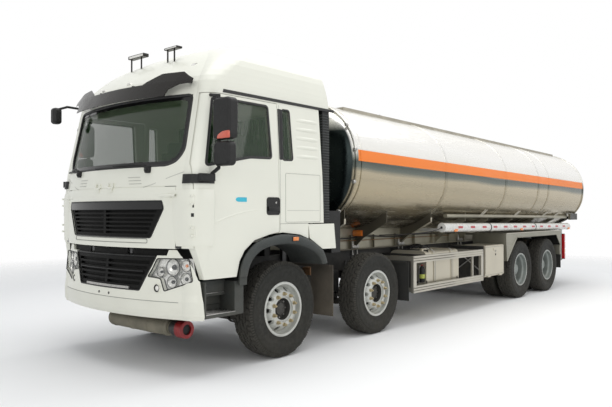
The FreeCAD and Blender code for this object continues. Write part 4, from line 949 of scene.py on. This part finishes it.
for k in range(3):
    z = 1.930 - 0.032 * k
    ys = [0.38 + 0.012 * k + 0.17 * i / 6 for i in range(7)]
    p.sheet([[front_pt(CAB, y, zz, 0.0035) for y in ys] for zz in (z - 0.003, z + 0.003)], "soft_seam",
            (-0.004, 0, 0), BOTH, False)
# Painted shade: a grey line drawn along the bonnet crease
CREASE = ((0.60, 1.826), (0.70, 1.848), (0.93, 1.925), (1.06, 1.965))
p.sheet([[front_pt(CAB, y, z + d, 0.0016) for y, z in CREASE] for d in (0.0, 0.006)], "soft_seam",
        sides=BOTH, turn=False)
p.sheet([[front_pt(CAB, -0.86 + 0.172 * k, z, -0.0035) for k in range(11)] for z in (1.815, 1.845)], "white")
p.done()


# Bonnet flap: grille insert, its rims and a corner stem
def grille_half(z):
    return 0.70 + (z - 1.34) * 0.55 if z < 1.62 else 0.854 - (z - 1.62) * 0.27


GRILLE = [(-0.70, 1.34), (0.70, 1.34), (0.854, 1.62), (0.835, 1.69), (-0.835, 1.69), (-0.854, 1.62)]
STEM = ((-0.014, -0.002), (-0.006, 0.009), (0.004, 0.009), (0.012, -0.002))
p = Piece("bonnet_trim", "bonnet_flap")
front_band(p, CAB, 1.612, 1.686, lambda z: grille_half(z) - 0.004, 0.003, 0.02, "gloss_black", 4, 26)
front_band(p, CAB, 1.690, 1.700, 0.838, 0.004, 0.006, "seal", 1, 24)
front_band(p, CAB, 1.345, 1.680, lambda z: grille_half(z) - 0.02, -0.044, 0.004, "mesh")
p.loop(front_loop(CAB, offset(GRILLE, 0.003), 0.02, -0.001), 0.007, "black", normal=(1, 0, 0))
p.loop(front_loop(CAB, rect(-0.66, 0.66, 1.285, 1.325), 0.012, 0.001), 0.0035, "seam", 5, normal=(1, 0, 0))
p.sheet([[front_pt(CAB, 0.945 - 0.012 * k + d, 1.722 - 0.026 * k, lift * (1 - 0.12 * k) - 0.001)
          for k in range(6)] for d, lift in STEM], "white", sides=BOTH)
p.done()


# Bumper: lower grille insert, silver bar, headlamp units, fog lamps and plate screws
def low_half(z):
    return 0.545 + 0.577 * (z - 0.816)


LOWER_GRILLE = [(-0.545, 0.816), (0.545, 0.816), (0.738, 1.156), (-0.738, 1.156)]
LAMP = [(0.745, 1.135), (1.112, 1.142), (1.162, 0.930), (0.850, 0.825), (0.800, 0.945), (0.642, 0.958),
        (0.694, 1.030)]
BOWLS = ((0.905, 1.052, 0.076, "black"), (1.045, 1.070, 0.052, "amber"), (0.762, 1.004, 0.044, "black"),
         (0.902, 0.912, 0.054, "black"), (1.050, 0.945, 0.058, "black"))
p = Piece("bumper_trim", "chassis")
front_band(p, BUMP, 0.822, 1.155, lambda z: low_half(z) - 0.01, -0.046, 0.003, "mesh")
front_band(p, BUMP, 1.150, 1.220, 0.31, -0.028, 0.003, "mesh", 2, 12)
front_band(p, BUMP, 1.150, 1.220, 0.86, -0.028, 0.003, "mesh", 2, 12, y0=0.395)
front_band(p, BUMP, 1.112, 1.150, lambda z: low_half(z) - 0.022, -0.010, 0.012, "mesh", 2, 22)
front_band(p, BUMP, 0.822, 0.848, 0.39, -0.002, 0.012, "steel", 2)
p.loop(front_loop(BUMP, offset(LOWER_GRILLE, -0.002), 0.02, -0.004), 0.008, "black", normal=(1, 0, 0))
front_band(p, BUMP, 1.000, 1.010, 0.58, 0.002, 0.02, "black", 1)
front_band(p, BUMP, 0.724, 0.729, 1.02, 0.0015, 0.004, "seam", 1, 26)
front_band(p, BUMP, 0.586, 0.640, 1.02, 0.0012, 0.004, "white", 2, 26)
p.loop(front_loop(BUMP, LAMP, 0.02, -0.003, 0.06), 0.006, "black", sides=BOTH, normal=(1, 0, 0))
back = densify(rounded(LAMP, 0.02, 3), 0.08)
n = len(back)
centre = front_pt(BUMP, sum(y for y, z in back) / n, sum(z for y, z in back) / n, -0.075)
back = [front_pt(BUMP, y, z, -0.052) for y, z in back]
p.add(back + [centre], [(i, (i + 1) % n, n) for i in range(n)], "lens", BOTH)
for y, z, r, bulb in BOWLS:
    o = front_pt(BUMP, y, z, -0.040)
    ax = (1, 0.22, 0)
    p.lathe([(0.0, -0.032), (r * 0.35, -0.030), (r * 0.7, -0.021), (r * 0.92, -0.006), (r, 0.002),
             (r * 1.08, 0.002), (r * 1.08, -0.006)], o, ax, "lens", 28, BOTH, caps=False)
    p.lathe([(r * 1.02, -0.001), (r * 1.10, 0.0), (r * 1.10, 0.007), (r * 1.02, 0.007)], o, ax, "black", 28,
            BOTH, caps=False)
    p.lathe([(0, -0.020), (r * 0.34, -0.020), (r * 0.30, -0.004), (0, 0.002)], o, ax, bulb, 16, BOTH)
for profile, mat in (([(0.047, -0.004), (0.047, 0.004), (0.042, 0.006), (0.036, -0.002)], "white"),
                     ([(0.037, 0.001), (0.027, -0.001), (0.024, -0.010)], "black"),
                     ([(0.026, -0.004), (0.014, 0.001), (0, 0.003)], "lens")):
    p.lathe(profile, front_pt(BUMP, 0.765, 0.850, 0.0), (1, 0.12, 0), mat, 28, BOTH, caps=False)
p.lathe([(0.0055, -0.006), (0.0060, 0.0012), (0.0135, 0.0012), (0.0140, -0.001)],
        front_pt(BUMP, 0.09, 0.76, 0.0005), (1, 0, 0), "black", 18, BOTH, caps=False)
p.done()

# Marker lamps, forehead lamps, roof lamp faces and roof gutter
p = Piece("roof_lamps_and_gutter", "cab")
for y in (-0.52, 0.03, 0.52):
    x = front_pt(ROOF, y, 2.955, 0.0)[0]
    p.box(x - 0.03, x + 0.022, y - 0.032, y + 0.032, 2.938, 2.964, "lens", 0.008)
for grow, lift, mat in ((1.0, 0.004, "black"), (0.72, 0.0075, "lens")):
    oval = [(0.80 + 0.042 * grow * c, 3.088 + 0.017 * grow * s) for c, s in turned(18)]
    front, back = ([front_pt(ROOF, y, z, out) for y, z in oval] for out in (lift, -0.004))
    plate(p, front, back, mat, BOTH, False)
for y0, y1, top, deep in ((-0.425, -0.12, 3.372, 0.038), (0.25, 0.48, 3.352, 0.024)):
    p.box(0.926, 0.9325, y0 + 0.02, y1 - 0.02, top - deep + 0.006, top - 0.006, "lens", 0.002)
p.sheet([[along_skin(rows, z, 1.35 + 0.06 * k, 0.006) for k in range(30)]
         for rows, z in ((CAB, 2.758), (ROOF, 2.79))], "seal", (0, -0.008, 0), BOTH)
p.done()

# Black strip from the mirror foot round the corner, and door handles
p = Piece("corner_strips", "cab", sides=BOTH)
p.sheet([[along_skin(CAB, z, 1.075 + 0.0275 * k, 0.011 if k in (0, 12) else 0.019) for k in range(13)]
         for z in (1.858, 1.868, 1.90, 1.935, 1.945)], "black", (-0.017, -0.012, 0))
p.done()
DOOR_Y = 1.245
for side, sides in SIDES:
    p = Piece("door_fittings_%s_door" % side, side + "_door", sides=sides)
    p.loop(side_loop(CAB, rect(0.172, 0.362, 1.56, 1.735), 0.03, 0.001, 0.05), 0.007, "black")
    loop = densify(rounded(rect(0.176, 0.358, 1.564, 1.731), 0.02, 3), 0.1)
    recess = [side_pt(CAB, x, z, 0.0015) for x, z in loop]
    p.add(recess, [tuple(range(len(recess)))], "gloss_black", turn=False)
    p.box(0.187, 0.348, DOOR_Y - 0.004, DOOR_Y + 0.0195, 1.596, 1.644, "black", 0.006)
    p.lathe([(0.011, 0.0), (0.011, 0.003), (0.004, 0.0035), (0, 0.0035)], (0.225, DOOR_Y, 1.685), (0, 1, 0),
            "steel", 14)
    p.done()

# Dashes, amber lamps and end caps along the hose tubes
HOSE_Y = 1.165
HOSE_R = 0.0712


def hose_z(x):
    return 1.349 + (x + 3.5) * 0.0135


p = Piece("tube_markers", "chassis", sides=BOTH)
for k in range(12):
    x = -8.72 + 0.425 * k
    p.sheet([[(xx, HOSE_Y + HOSE_R * math.cos(a), hose_z(xx) + HOSE_R * math.sin(a)) for xx in (x, x + 0.15)]
             for a in (-0.16, 0.0, 0.16, 0.32)], "reflect_red", turn=False)
for x in (-3.895, -6.465, -9.03):
    z = hose_z(x) - 0.040
    p.box(x, x + 0.11, 1.216, 1.236, z - 0.022, z + 0.022, "amber", 0.006)
for x, way in ((-9.045, -1), (-3.497, 1)):
    p.lathe([(0.071, -0.006), (0.073, 0.0), (0.071, 0.006), (0.058, 0.008), (0, 0.008)],
            (x, HOSE_Y, hose_z(x)), (way, 0, 0), "tube", 28)
p.done()

# Cab side: ribs, locker panel, seams, corner cover and its vents, and the wing above the grille
p = Piece("cab_side_panels", "cab", sides=BOTH)
for z in (2.60, 2.50, 2.40, 2.30, 2.20):
    grid = []
    for k in range(7):
        d = -0.022 + 0.044 * k / 6
        lift = 0.011 * math.cos(math.pi * d / 0.046)
        ends = [min(1, i * 0.6 + 0.1, (7 - i) * 0.6 + 0.1) for i in range(8)]
        grid.append([side_pt(CAB, -0.11 - 0.055 * i, z + d, -0.001 + lift * ends[i]) for i in range(8)])
    p.sheet(grid, "white")
p.loop(side_loop(CAB, rect(0.075, -0.508, 2.005, 1.476), 0.02, 0.0006), 0.0030, "soft_seam", 5)
for x, step, n, z, mat in ((0.05, 0.068, 9, 1.60, "soft_seam"), (0.165, 0.067, 8, 1.458, "seam")):
    p.sheet([[side_pt(CAB, x - step * k, z + d, 0.0012) for k in range(n)] for d in (0, 0.004)], mat)
p.sheet([[side_pt(CAB, 0.155 + d, 1.39 + 0.168 * k, 0.0014) for d in (0, 0.003)] for k in range(9)], "seam")
COVER_LOW = 1.262
COVER_TOP = 1.795
COVER_END = 1.415
grid = []
for k in range(9):
    t = k / 8
    start = 0.968 + 0.045 * (1 - t) ** 2
    row = []
    for i in range(9):
        z = COVER_LOW + (COVER_TOP - COVER_LOW) * t + (0.012 * i / 8 if k == 8 else 0)
        edge = min(1.0, i * 0.8, (8 - k) * 0.7 + 0.25) * (0.4 + 0.6 * t)
        row.append(along_skin(CAB, z, start + (COVER_END - start) * i / 8, 0.0015 + 0.018 * edge))
    grid.append(row)
p.sheet(grid, "white", (-0.012, -0.010, 0))
for z in (1.628, 1.541):
    p.sheet([[along_skin(CAB, z + d, s, 0.0152) for s in (1.190, 1.203, 1.216)] for d in (0, 0.034)], "black")
p.sheet([[along_skin(CAB, z, 0.80 + 0.022 * k, 0.001 + 0.034 * f * k / 10) for k in range(11)]
         for z, f in ((1.727, 0.0), (1.736, 1.0), (1.752, 1.0), (1.760, 0.0))], "white")
p.done()

# Door skins: a raised swage line, and the blank sticker on the left
SWAGE = ((-0.016, -0.001), (-0.006, 0.0045), (0.004, 0.0045), (0.018, -0.001))
STICKER = [(0.806, 1.712), (0.795, 1.726), (0.77, 1.733), (0.654, 1.733), (0.654, 1.688),
           (0.77, 1.688), (0.795, 1.695)]


def swage_point(t, d, lift):
    z = 1.425 + 0.185 * math.sin(t * math.pi / 2) + d * (1 - 0.6 * t)
    return side_pt(CAB, 1.255 - 0.83 * t, z, lift * (1 - t ** 3))


for side, sides in SIDES:
    p = Piece("door_skin_marks_%s_door" % side, side + "_door", sides=sides)
    p.sheet([[swage_point(k / 10, d, lift) for k in range(11)] for d, lift in SWAGE], "white", turn=False)
    if side == "left":
        loop = densify(rounded(STICKER, 0.004, 3), 0.1)
        front, back = ([side_pt(CAB, x, z, out) for x, z in loop] for out in (0.0022, 0.0002))
        plate(p, front, back, "cyan")
    p.done()

# Steps: treads with raised bars, risers and kick plate seams
p = Piece("step_treads", "chassis", sides=BOTH)
for z, y0, y1, x0, x1 in ((0.604, 0.90, 1.232, 0.80, 1.16), (0.785, 0.88, 1.075, 0.81, 1.16)):
    for k in range(8):
        y = y0 + 0.015 + (y1 - y0 - 0.03) * k / 7
        p.box(x0, x1, y - 0.006, y + 0.006, z - 0.001, z + 0.006, "steel", 0.0022, 1)
    p.box(x0 - 0.005, x1 + 0.01, y1 - 0.010, y1 + 0.002, z - 0.022, z + 0.007, "steel", 0.003, 1)
p.box(0.802, 1.162, 1.000, 1.012, 0.610, 0.762, "grey", 0.004, 1)
p.box(0.802, 1.162, 1.066, 1.078, 0.788, 0.912, "grey", 0.004, 1)
p.box(0.815, 1.150, 1.011, 1.014, 0.662, 0.668, "black", 0.001, 1)
p.lathe([(0.014, 0.0), (0.014, 0.004), (0.008, 0.005), (0, 0.005)], (1.05, 1.078, 0.850), (0, 1, 0),
        "black", 14)
p.done()

# Wheel arch: bulged lip, amber lamp and screws
ARCH_OUT = [(0.776, 0.943), (0.737, 1.088), (0.667, 1.183), (0.528, 1.280), (0.323, 1.332), (0.124, 1.352),
            (-0.152, 1.324), (-0.392, 1.240), (-0.535, 1.150), (-0.607, 1.008)]
ARCH_IN = [(0.672, 0.943), (0.634, 1.045), (0.575, 1.122), (0.470, 1.190), (0.305, 1.232), (0.118, 1.244),
           (-0.125, 1.222), (-0.335, 1.155), (-0.450, 1.085), (-0.512, 0.990)]
ARCH_BULGE = ((0.04, 0.0005), (0.12, 0.011), (0.30, 0.022), (0.52, 0.027), (0.74, 0.022), (0.92, 0.010),
              (0.985, 0.0005))


def smooth_pts(pts, parts):
    """A smooth line through the points, cut into parts between each two."""
    ext = [pts[0]] + list(pts) + [pts[-1]]
    out = []
    for i in range(1, len(ext) - 2):
        for k in range(parts):
            t = k / parts
            out.append(tuple(
                b + 0.5 * t * (c - a + t * (2 * a - 5 * b + 4 * c - d + t * (3 * (b - c) + d - a)))
                for a, b, c, d in zip(*ext[i - 1:i + 3])))
    return out + [pts[-1]]


p = Piece("arch_mouldings", "chassis", sides=BOTH)
arch = list(zip(smooth_pts(ARCH_OUT, 4), smooth_pts(ARCH_IN, 4)))
p.sheet([[(o[0] + (i[0] - o[0]) * u, 1.2715 + w, o[1] + (i[1] - o[1]) * u) for o, i in arch]
         for u, w in ARCH_BULGE], "grey", (0, -0.0015, 0))
for foot, lens in (((1.289, 1.307), (1.299, 1.313)), ((-1.305, -1.287), (-1.311, -1.297))):
    p.box(-0.075, 0.029, *foot, 1.268, 1.324, "seal", 0.008, sides=DRAWN)
    p.box(-0.067, 0.021, *lens, 1.275, 1.317, "amber", 0.007, sides=DRAWN)
for k in (3, 12, 26, 33):
    o, i = arch[k]
    q = ((o[0] + 3 * i[0]) / 4, 1.289, (o[1] + 3 * i[1]) / 4)
    p.screw(q, (0, 1, 0), 0.009, -0.004, 0.002, "black", 10)
p.done()

# Mirrors: glasses, rear shells' indicator and clamp collars
INDICATOR = [(1.36, 2.272), (1.526, 2.272), (1.526, 2.342), (1.44, 2.338), (1.375, 2.31)]
for (side, sides), x0 in zip(SIDES, (1.03, 0.83)):
    p = Piece("mirror_parts_%s_door" % side, side + "_door", sides=sides)
    for z0, z1, y0, y1, f in ((2.30, 2.63, 1.315, 1.505, 0.0), (2.045, 2.225, 1.325, 1.495, 0.01)):
        pane = [(x0 + f - 0.001, y, z) for y, z in rounded(rect(y0, y1, z0, z1), 0.03, 4)]
        p.add(pane, [tuple(range(len(pane)))], "mirror", turn=False)
        p.loop(pane, 0.004, "seal", normal=(1, 0, 0))
    p.slab(rounded(INDICATOR, 0.012, 3), x0 + 0.105, x0 + 0.127, "indicator", 0.005)
    for z in (2.035, 2.255, 2.66):
        p.collar((x0 + 0.07, 1.33, z), (0, 0, 1), 0.017, 0.005, 0.016, "black", 14, 0.004, True)
    p.done()

# Fuel tank straps, cap and pipes; battery box lid; air tank ends; extinguisher
UP = (0, 0, 1)
p = Piece("side_equipment", "chassis")
for x in (-3.83, -3.29):
    for d in (-0.020, 0.020):
        p.box(x + d - 0.003, x + d + 0.003, 1.157, 1.1625, 0.53, 0.96, "steel", 0.0015, 1)
    p.rod((x, 1.157, 0.985), (x, 1.10, 1.030), 0.006, "steel")
p.lathe([(0.056, 0), (0.058, 0.01), (0.058, 0.028), (0.050, 0.034), (0.02, 0.036), (0.018, 0.046),
         (0, 0.048)], (-3.2, 1.01, 1.045), UP, "black", 24)
p.tube([(-3.62, 0.80, 1.012), (-3.60, 0.76, 1.06), (-3.62, 0.62, 1.075), (-3.66, 0.45, 1.02)], 0.011, "hose")
p.tube([(-3.70, 0.84, 1.012), (-3.68, 0.80, 1.05), (-3.72, 0.60, 1.06), (-3.80, 0.45, 1.00)], 0.009, "hose")
p.lathe([(0.04, 0), (0.04, 0.012), (0.02, 0.018), (0, 0.018)], (-3.64, 0.82, 1.01), UP, "steel", 18)
for x in (-3.62, -3.30, -2.98):
    p.box(x - 0.012, x + 0.012, -1.162, -1.150, 0.55, 0.94, "frame", 0.004, 1)
p.box(-3.66, -2.94, -1.158, -0.512, 0.958, 0.972, "black", 0.006)
for z in (0.62, 0.86):
    for x, way in ((-4.55, -1), (-3.80, 1)):
        p.lathe([(0.11, 0), (0.100, 0.022), (0.07, 0.042), (0.03, 0.05), (0, 0.052)], (x, -0.80, z),
                (way, 0, 0), "frame", 26)
    for x in (-4.38, -3.98):
        p.collar((x, -0.80, z), (1, 0, 0), 0.111, 0.0025, 0.02, "steel", 26)
for profile, mat in (([(0, 0), (0.034, 0.0), (0.040, 0.006), (0.040, 0.055), (0.0405, 0.058)], "black"),
                     ([(0.0405, 0.058), (0.0405, 0.118)], "yellow"),
                     ([(0.040, 0.118), (0.040, 0.195), (0.030, 0.220), (0.012, 0.232), (0.012, 0.250),
                       (0, 0.250)], "black")):
    p.lathe(profile, (-3.02, 1.10, 0.56), UP, mat, 18, caps=False)
p.box(-3.045, -2.995, 1.092, 1.108, 0.80, 0.816, "red", 0.004, 1)
p.box(-3.05, -2.99, 1.055, 1.075, 0.55, 0.80, "steel", 0.003, 1)
p.box(-3.075, -2.965, 1.03, 1.06, 0.545, 0.575, "frame", 0.004, 1)
p.done()

# Side guards: profile grooves, screws and thin stays
GUARD_Y = 1.2455
p = Piece("guard_grooves", "chassis", sides=BOTH)
for z0, z1 in ((0.872, 0.968), (0.456, 0.552)):
    for z in (z0 + 0.024, z0 + 0.060):
        p.box(-4.742, -2.548, GUARD_Y - 0.0015, GUARD_Y + 0.0015, z, z + 0.012, "sub", 0.001, 1)
    for x in (-4.725, -2.565):
        for z in (z0 + 0.018, z1 - 0.018):
            p.screw((x, GUARD_Y, z), (0, 1, 0), 0.009, -0.001, 0.004)
for x in (-4.60, -3.02, -3.95):
    p.rod((x, 1.19, 0.51), (x - 0.30, 0.95, 0.88), 0.009, "frame")
p.box(-2.562, -2.552, 0.50, 1.198, 0.476, 0.900, "frame", 0.002, 1)
p.done()

# Toolbox: latch, keyhole and seams
p = Piece("toolbox_latch", "toolbox_lid")
p.loop([(-5.225 + 0.016 * c, 1.2445, 0.925 + 0.020 * s) for c, s in turned(14)], 0.0035, "steel")
p.lathe([(0.018, 0.0), (0.018, 0.004), (0.012, 0.006), (0, 0.006)], (-5.228, 1.2398, 0.862), (0, 1, 0),
        "seal", 16)
p.loop([(x, 1.2405, z) for x, z in rect(-5.555, -4.835, 0.53, 0.995)], 0.003, "seam", 5)
p.done()

# Rear fenders: edge beads, rivets and pressed ribs
FENDER_Y = 1.2405
FENDER_ARC = ((-5.70, 0.733), (-5.74, 0.803), (-6.02, 1.053), (-6.20, 1.153))
RIB = ((-0.012, 0), (-0.005, 0.004), (0.005, 0.004), (0.012, 0))
p = Piece("fender_beads", "chassis", sides=BOTH)
for (xa, za), (xb, zb) in zip(FENDER_ARC, FENDER_ARC[1:]):
    p.rod((xa, FENDER_Y, za), (xb, FENDER_Y, zb), 0.006, "fender")
p.rod((-5.672, FENDER_Y, 1.203), (-8.47, FENDER_Y, 1.203), 0.008, "alu")
p.rod((-6.20, FENDER_Y, 1.121), (-8.15, FENDER_Y, 1.121), 0.006, "fender")
for k in range(12):
    p.screw((-5.85 - 0.22 * k, FENDER_Y, 1.178), (0, 1, 0), 0.007, -0.001, 0.003)
for k in range(9):
    p.sheet([[(-5.80 - 0.32 * k + d, 0.62 + 0.30 * i, 1.2042 + h) for i in range(3)] for d, h in RIB],
            "fender", turn=False)
p.box(-8.452, -8.40, 1.02, 1.232, 0.70, 0.90, "fender", 0.004, 1)
p.done()

# Tail lamps: lens segments, ribs and end caps
p = Piece("tail_lamp_lenses", "chassis", sides=BOTH)
for z0, z1, mat in ((0.60, 0.72, "red_lens"), (0.725, 0.80, "amber"), (0.805, 0.96, "red_lens"),
                    (0.965, 1.108, "red_lens")):
    p.box(-8.745, -8.698, 1.168, 1.232, z0, z1, mat, 0.012)
    for k in range(6):
        z = z0 + (z1 - z0) * (k + 0.5) / 6
        for ys in ((1.2345, 1.239), (-1.2385, -1.234)):
            p.box(-8.70, -8.666, *ys, z - 0.006, z + 0.004, mat, 0.0015, 1, DRAWN)
for z in (0.592, 1.118):
    p.box(-8.705, -8.660, 1.178, 1.238, z - 0.006, z + 0.006, "seal", 0.003, 1)
p.done()

# Subframe: ribs on the web, U bolts, saddle edge tubes, amber lamp, cables, hose tube clamps and barrel stays
p = Piece("subframe_fittings", "chassis", sides=BOTH)
for k in range(14):
    x = -1.55 - 0.58 * k
    p.box(x - 0.004, x + 0.004, 0.4305, 0.4755, 1.064, 1.255, "sub", 0.0015, 1)
for x in (-2.252, -3.464, -5.451, -6.80, -8.30):
    for d in (-0.055, 0.055):
        p.rod((x + d, 0.452, 0.98), (x + d, 0.452, 1.175), 0.009, "steel", 10)
        for z in (1.125, 0.985):
            p.lathe([(0.0, -0.010), (0.017, -0.010), (0.017, 0.010), (0.0, 0.010)], (x + d, 0.452, z), UP,
                    "steel", 6)
    p.box(x - 0.085, x + 0.085, 0.434, 0.476, 1.070, 1.114, "steel", 0.004, 1)
    p.box(x - 0.075, x + 0.075, 0.431, 0.439, 0.90, 1.05, "frame", 0.003, 1)
for x in (-1.297, -1.283, -3.471, -3.457):
    p.tube([(x, 0.44, 1.093), (x, 0.60, 1.212), (x, 1.002, 1.438), (x, 1.004, 1.50)], 0.009, "box_alu",
           smooth=1)
p.box(-2.246, -2.232, 0.425, 0.595, 1.243, 1.327, "orange", 0.004)
p.box(-2.234, -2.218, 0.433, 0.587, 1.251, 1.319, "amber", 0.006)
p.tube([(-3.50, 1.165, 1.349), (-3.35, 1.10, 1.30), (-3.10, 0.90, 1.26), (-2.8, 0.50, 1.24)], 0.007, "hose")
p.tube([(-1.3, 0.50, 1.24), (-1.9, 0.485, 1.215), (-2.5, 0.49, 1.235), (-3.2, 0.485, 1.21),
        (-4.0, 0.49, 1.23), (-5.2, 0.485, 1.215)], 0.010, "hose")
p.tube([(-1.32, 0.49, 1.19), (-2.2, 0.48, 1.18), (-3.4, 0.485, 1.175), (-5.0, 0.48, 1.18)], 0.006, "copper")
for x in (-5.089, -7.095):
    z = hose_z(x)
    p.collar((x, HOSE_Y, z), (1, 0, 0.0135), 0.0715, 0.003, 0.016, "seal", 28)
    p.box(x - 0.012, x + 0.012, 1.05, 1.15, z + 0.045, z + 0.055, "steel", 0.003, 1)
for x in (-5.00, -6.45, -7.90, -8.60):
    for d in (0.0, 0.07):
        top = tank_mid(x - 0.20) - tank_under(1.06)
        p.rod((x - d, 1.035, 1.50), (x - d - 0.24, 1.06, top), 0.008, "alu")
p.lathe([(0.020, 0.0), (0.020, 0.0045), (0, 0.005)], (-3.4885, HOSE_Y, 1.349), (1, 0, 0), "seal", 14)
p.done()

# Running gear: spring clips, brake lines and chambers, hangers and brackets
p = Piece("running_gear_fittings", "chassis", sides=BOTH)
for x in (AXLES[1], AXLES[2]):
    for d in (x - 0.075, x + 0.075):
        p.tube([(d, 0.34, 0.50), (d, 0.34, 0.34), (d, 0.46, 0.34), (d, 0.46, 0.50)], 0.011, "frame", smooth=3)
    p.tube([(x - 0.10, 0.82, 0.60), (x - 0.20, 0.70, 0.72), (x - 0.18, 0.50, 0.80), (x - 0.25, 0.44, 0.90)],
           0.009, "hose")
    p.lathe([(0, -0.08), (0.060, -0.08), (0.066, -0.07), (0.066, -0.005), (0.074, 0), (0.066, 0.005),
             (0.066, 0.05), (0.03, 0.07), (0, 0.07)], (x - 0.20, 0.62, 0.70), (0.25, 0.5, 0.6), "frame", 20)
p.box(-1.28, -0.62, 0.471, 0.479, 0.50, 0.93, "frame", 0.003, 1)
p.box(0.02, 0.62, 0.471, 0.479, 0.80, 1.05, "frame", 0.003, 1)
p.box(-3.166, -3.158, 0.46, 1.12, 0.50, 1.03, "frame", 0.003, 1)
p.box(-1.730, -1.560, 0.50, 0.58, 0.50, 0.80, "cast", 0.02, 1)
p.box(-4.812, -4.804, 0.56, 1.222, 0.47, 1.016, "frame", 0.003, 1, DRAWN)
for z0, z1 in ((0.60, 0.94), (0.94, 0.60)):
    p.rod((-4.798, 0.72, z0), (-4.798, 1.17, z1), 0.010, "steel", 8, DRAWN)
for x, z in ((-2.66, 0.955), (-2.95, 0.97)):
    p.box(x - 0.02, x + 0.02, 0.46, 1.19, z - 0.03, z, "frame", 0.004, 1)
p.tube([(-1.05, 0.80, 0.92), (-1.15, 0.70, 0.86), (-1.25, 0.55, 0.95), (-1.30, 0.44, 1.00)], 0.010, "copper",
       sides=DRAWN)
p.box(-1.18, -1.04, 0.50, 0.64, 0.78, 0.88, "copper", 0.012, sides=DRAWN)
p.box(-1.20, -1.02, 0.43, 0.52, 0.80, 0.86, "frame", 0.006, sides=DRAWN)
p.done()

# Manhole clamps and walkway ribs
MANHOLES = (("front_manhole_lid", -3.2), ("rear_manhole_lid", -7.4))
LID_UP = 0.923
for body, mx in MANHOLES:
    p = Piece("lid_fittings_" + body, body)
    c = Vector((mx - 0.92 * SLOPE, 0, tank_mid(mx) + LID_UP))
    up = (-SLOPE, 0, 1)
    for k in range(6):
        a = math.pi * (k + 0.5) / 3
        q = c + Vector((math.cos(a), math.sin(a), math.cos(a) * SLOPE)) * 0.235
        p.lathe([(0.018, -0.001), (0.018, 0.010), (0.010, 0.012), (0.010, 0.024), (0, 0.025)], q, up,
                "steel", 10)
    p.lathe([(0.10, 0.012), (0.085, 0.022), (0.04, 0.026), (0.03, 0.034), (0, 0.036)], c, up, "steel", 24)
    p.done()
p = Piece("walkway_ribs", "chassis")
for k in range(36):
    x = -2.1 - 0.20 * k
    if min(abs(x - mx) for body, mx in MANHOLES) >= 0.34:
        z = tank_mid(x) + 0.8885
        p.box(x - 0.020, x - 0.004, -0.235, 0.235, z - 0.001, z + 0.005, "walk", 0.0015, 1)
p.done()

# Cab inside: seats, dashboard binnacles, papers on it and the curtain with its rail
p = Piece("cab_trim", "cab")
for y in (-0.56, 0.56):
    p.box(0.16, 0.655, y - 0.245, y + 0.245, 1.672, 1.735, "seat", 0.028)
    p.box(0.165, 0.215, y - 0.235, y + 0.235, 1.74, 2.24, "seat", 0.022)
    p.box(0.09, 0.19, y - 0.13, y + 0.13, 2.30, 2.46, "seat", 0.035)
    for d in (-0.06, 0.06):
        p.rod((0.13, y + d, 2.25), (0.13, y + d, 2.34), 0.007, "steel")
p.box(0.87, 1.12, 0.33, 0.80, 1.90, 1.985, "trim", 0.03)
p.box(0.90, 1.10, -0.25, 0.20, 1.895, 1.95, "trim", 0.025)
p.box(1.02, 1.16, -0.36, -0.18, 1.955, 1.962, "tube", 0.002, 1)
p.box(1.10, 1.20, 0.12, 0.36, 1.962, 1.968, "tube", 0.002, 1)
for k in range(24):
    y = -1.02 + 2.04 * k / 23
    low, top = (-0.30 + 0.02 * math.sin(k * 2.1 + d) for d in (0, 0.4))
    p.rod((low, y, 2.05), (top, y, 2.70), 0.028, "seat")
p.rod((-0.30, -1.06, 2.71), (-0.30, 1.06, 2.71), 0.012, "steel")
p.done()

# Silencer seams and clamps, the arrester's ribs and mouth: y, radius, height, half width
SILENCER_X = 1.13
SILENCER_Z = 0.428
ACROSS = (0, 1, 0)
p = Piece("silencer_fittings", "chassis")
for y in (-0.30, 0.02, 0.34, 0.60):
    p.collar((SILENCER_X, y, SILENCER_Z), ACROSS, 0.0905, 0.003, 0.012, "silencer", 30)
p.collar((SILENCER_X, 0.705, SILENCER_Z), ACROSS, 0.0625, 0.0055, 0.02, "frame", 26)
for y in (0.765, 0.80, 0.835, 0.87):
    p.collar((SILENCER_X, y, SILENCER_Z), ACROSS, 0.0865, 0.002, 0.006, "arrester", 28)
p.lathe([(0.053, -0.004), (0.058, -0.002), (0.066, 0.0022), (0.078, 0.0022), (0.084, -0.003)],
        (SILENCER_X, 0.900, SILENCER_Z), ACROSS, "arrester", 28, caps=False)
p.lathe([(0.052, 0.0), (0.040, 0.004), (0, 0.004)], (SILENCER_X, 0.880, SILENCER_Z), ACROSS, "black", 24,
        caps=False)
p.done()

# Horizontal louvres on the air intake behind the cab
p = Piece("intake_louvres", "chassis")
for k in range(40):
    z = 1.50 + 0.031 * k
    p.box(-0.724, -0.598, 1.203, 1.211, z, z + 0.012, "grey", 0.003, 1)
    p.box(-0.602, -0.594, 1.052, 1.203, z, z + 0.012, "grey", 0.003, 1)
p.done()

# Pale floor that fades out into the backdrop
FLOOR = 60
floor = bpy.data.meshes.new("studio_floor")
corners = [(x * FLOOR, y * FLOOR, 0) for x, y in ((-1, -1), (1, -1), (1, 1), (-1, 1))]
floor.from_pydata(corners, [], [(0, 1, 2, 3)])
floor_ob = bpy.data.objects.new("studio_floor", floor)
bpy.context.scene.collection.objects.link(floor_ob)
fm = Mat("studio_floor_matt", (0.93, 0.93, 0.925), 0.9).vary(0.5, 0.01)
far = fm.node("ShaderNodeVectorMath", operation="LENGTH")
fm.link(fm.obj, far.inputs[0])
fm.link(fm.remap(far.outputs["Value"], 8.0, 15.0, 1.0, 0.0), fm.p.inputs["Alpha"])
floor.materials.append(fm.done())
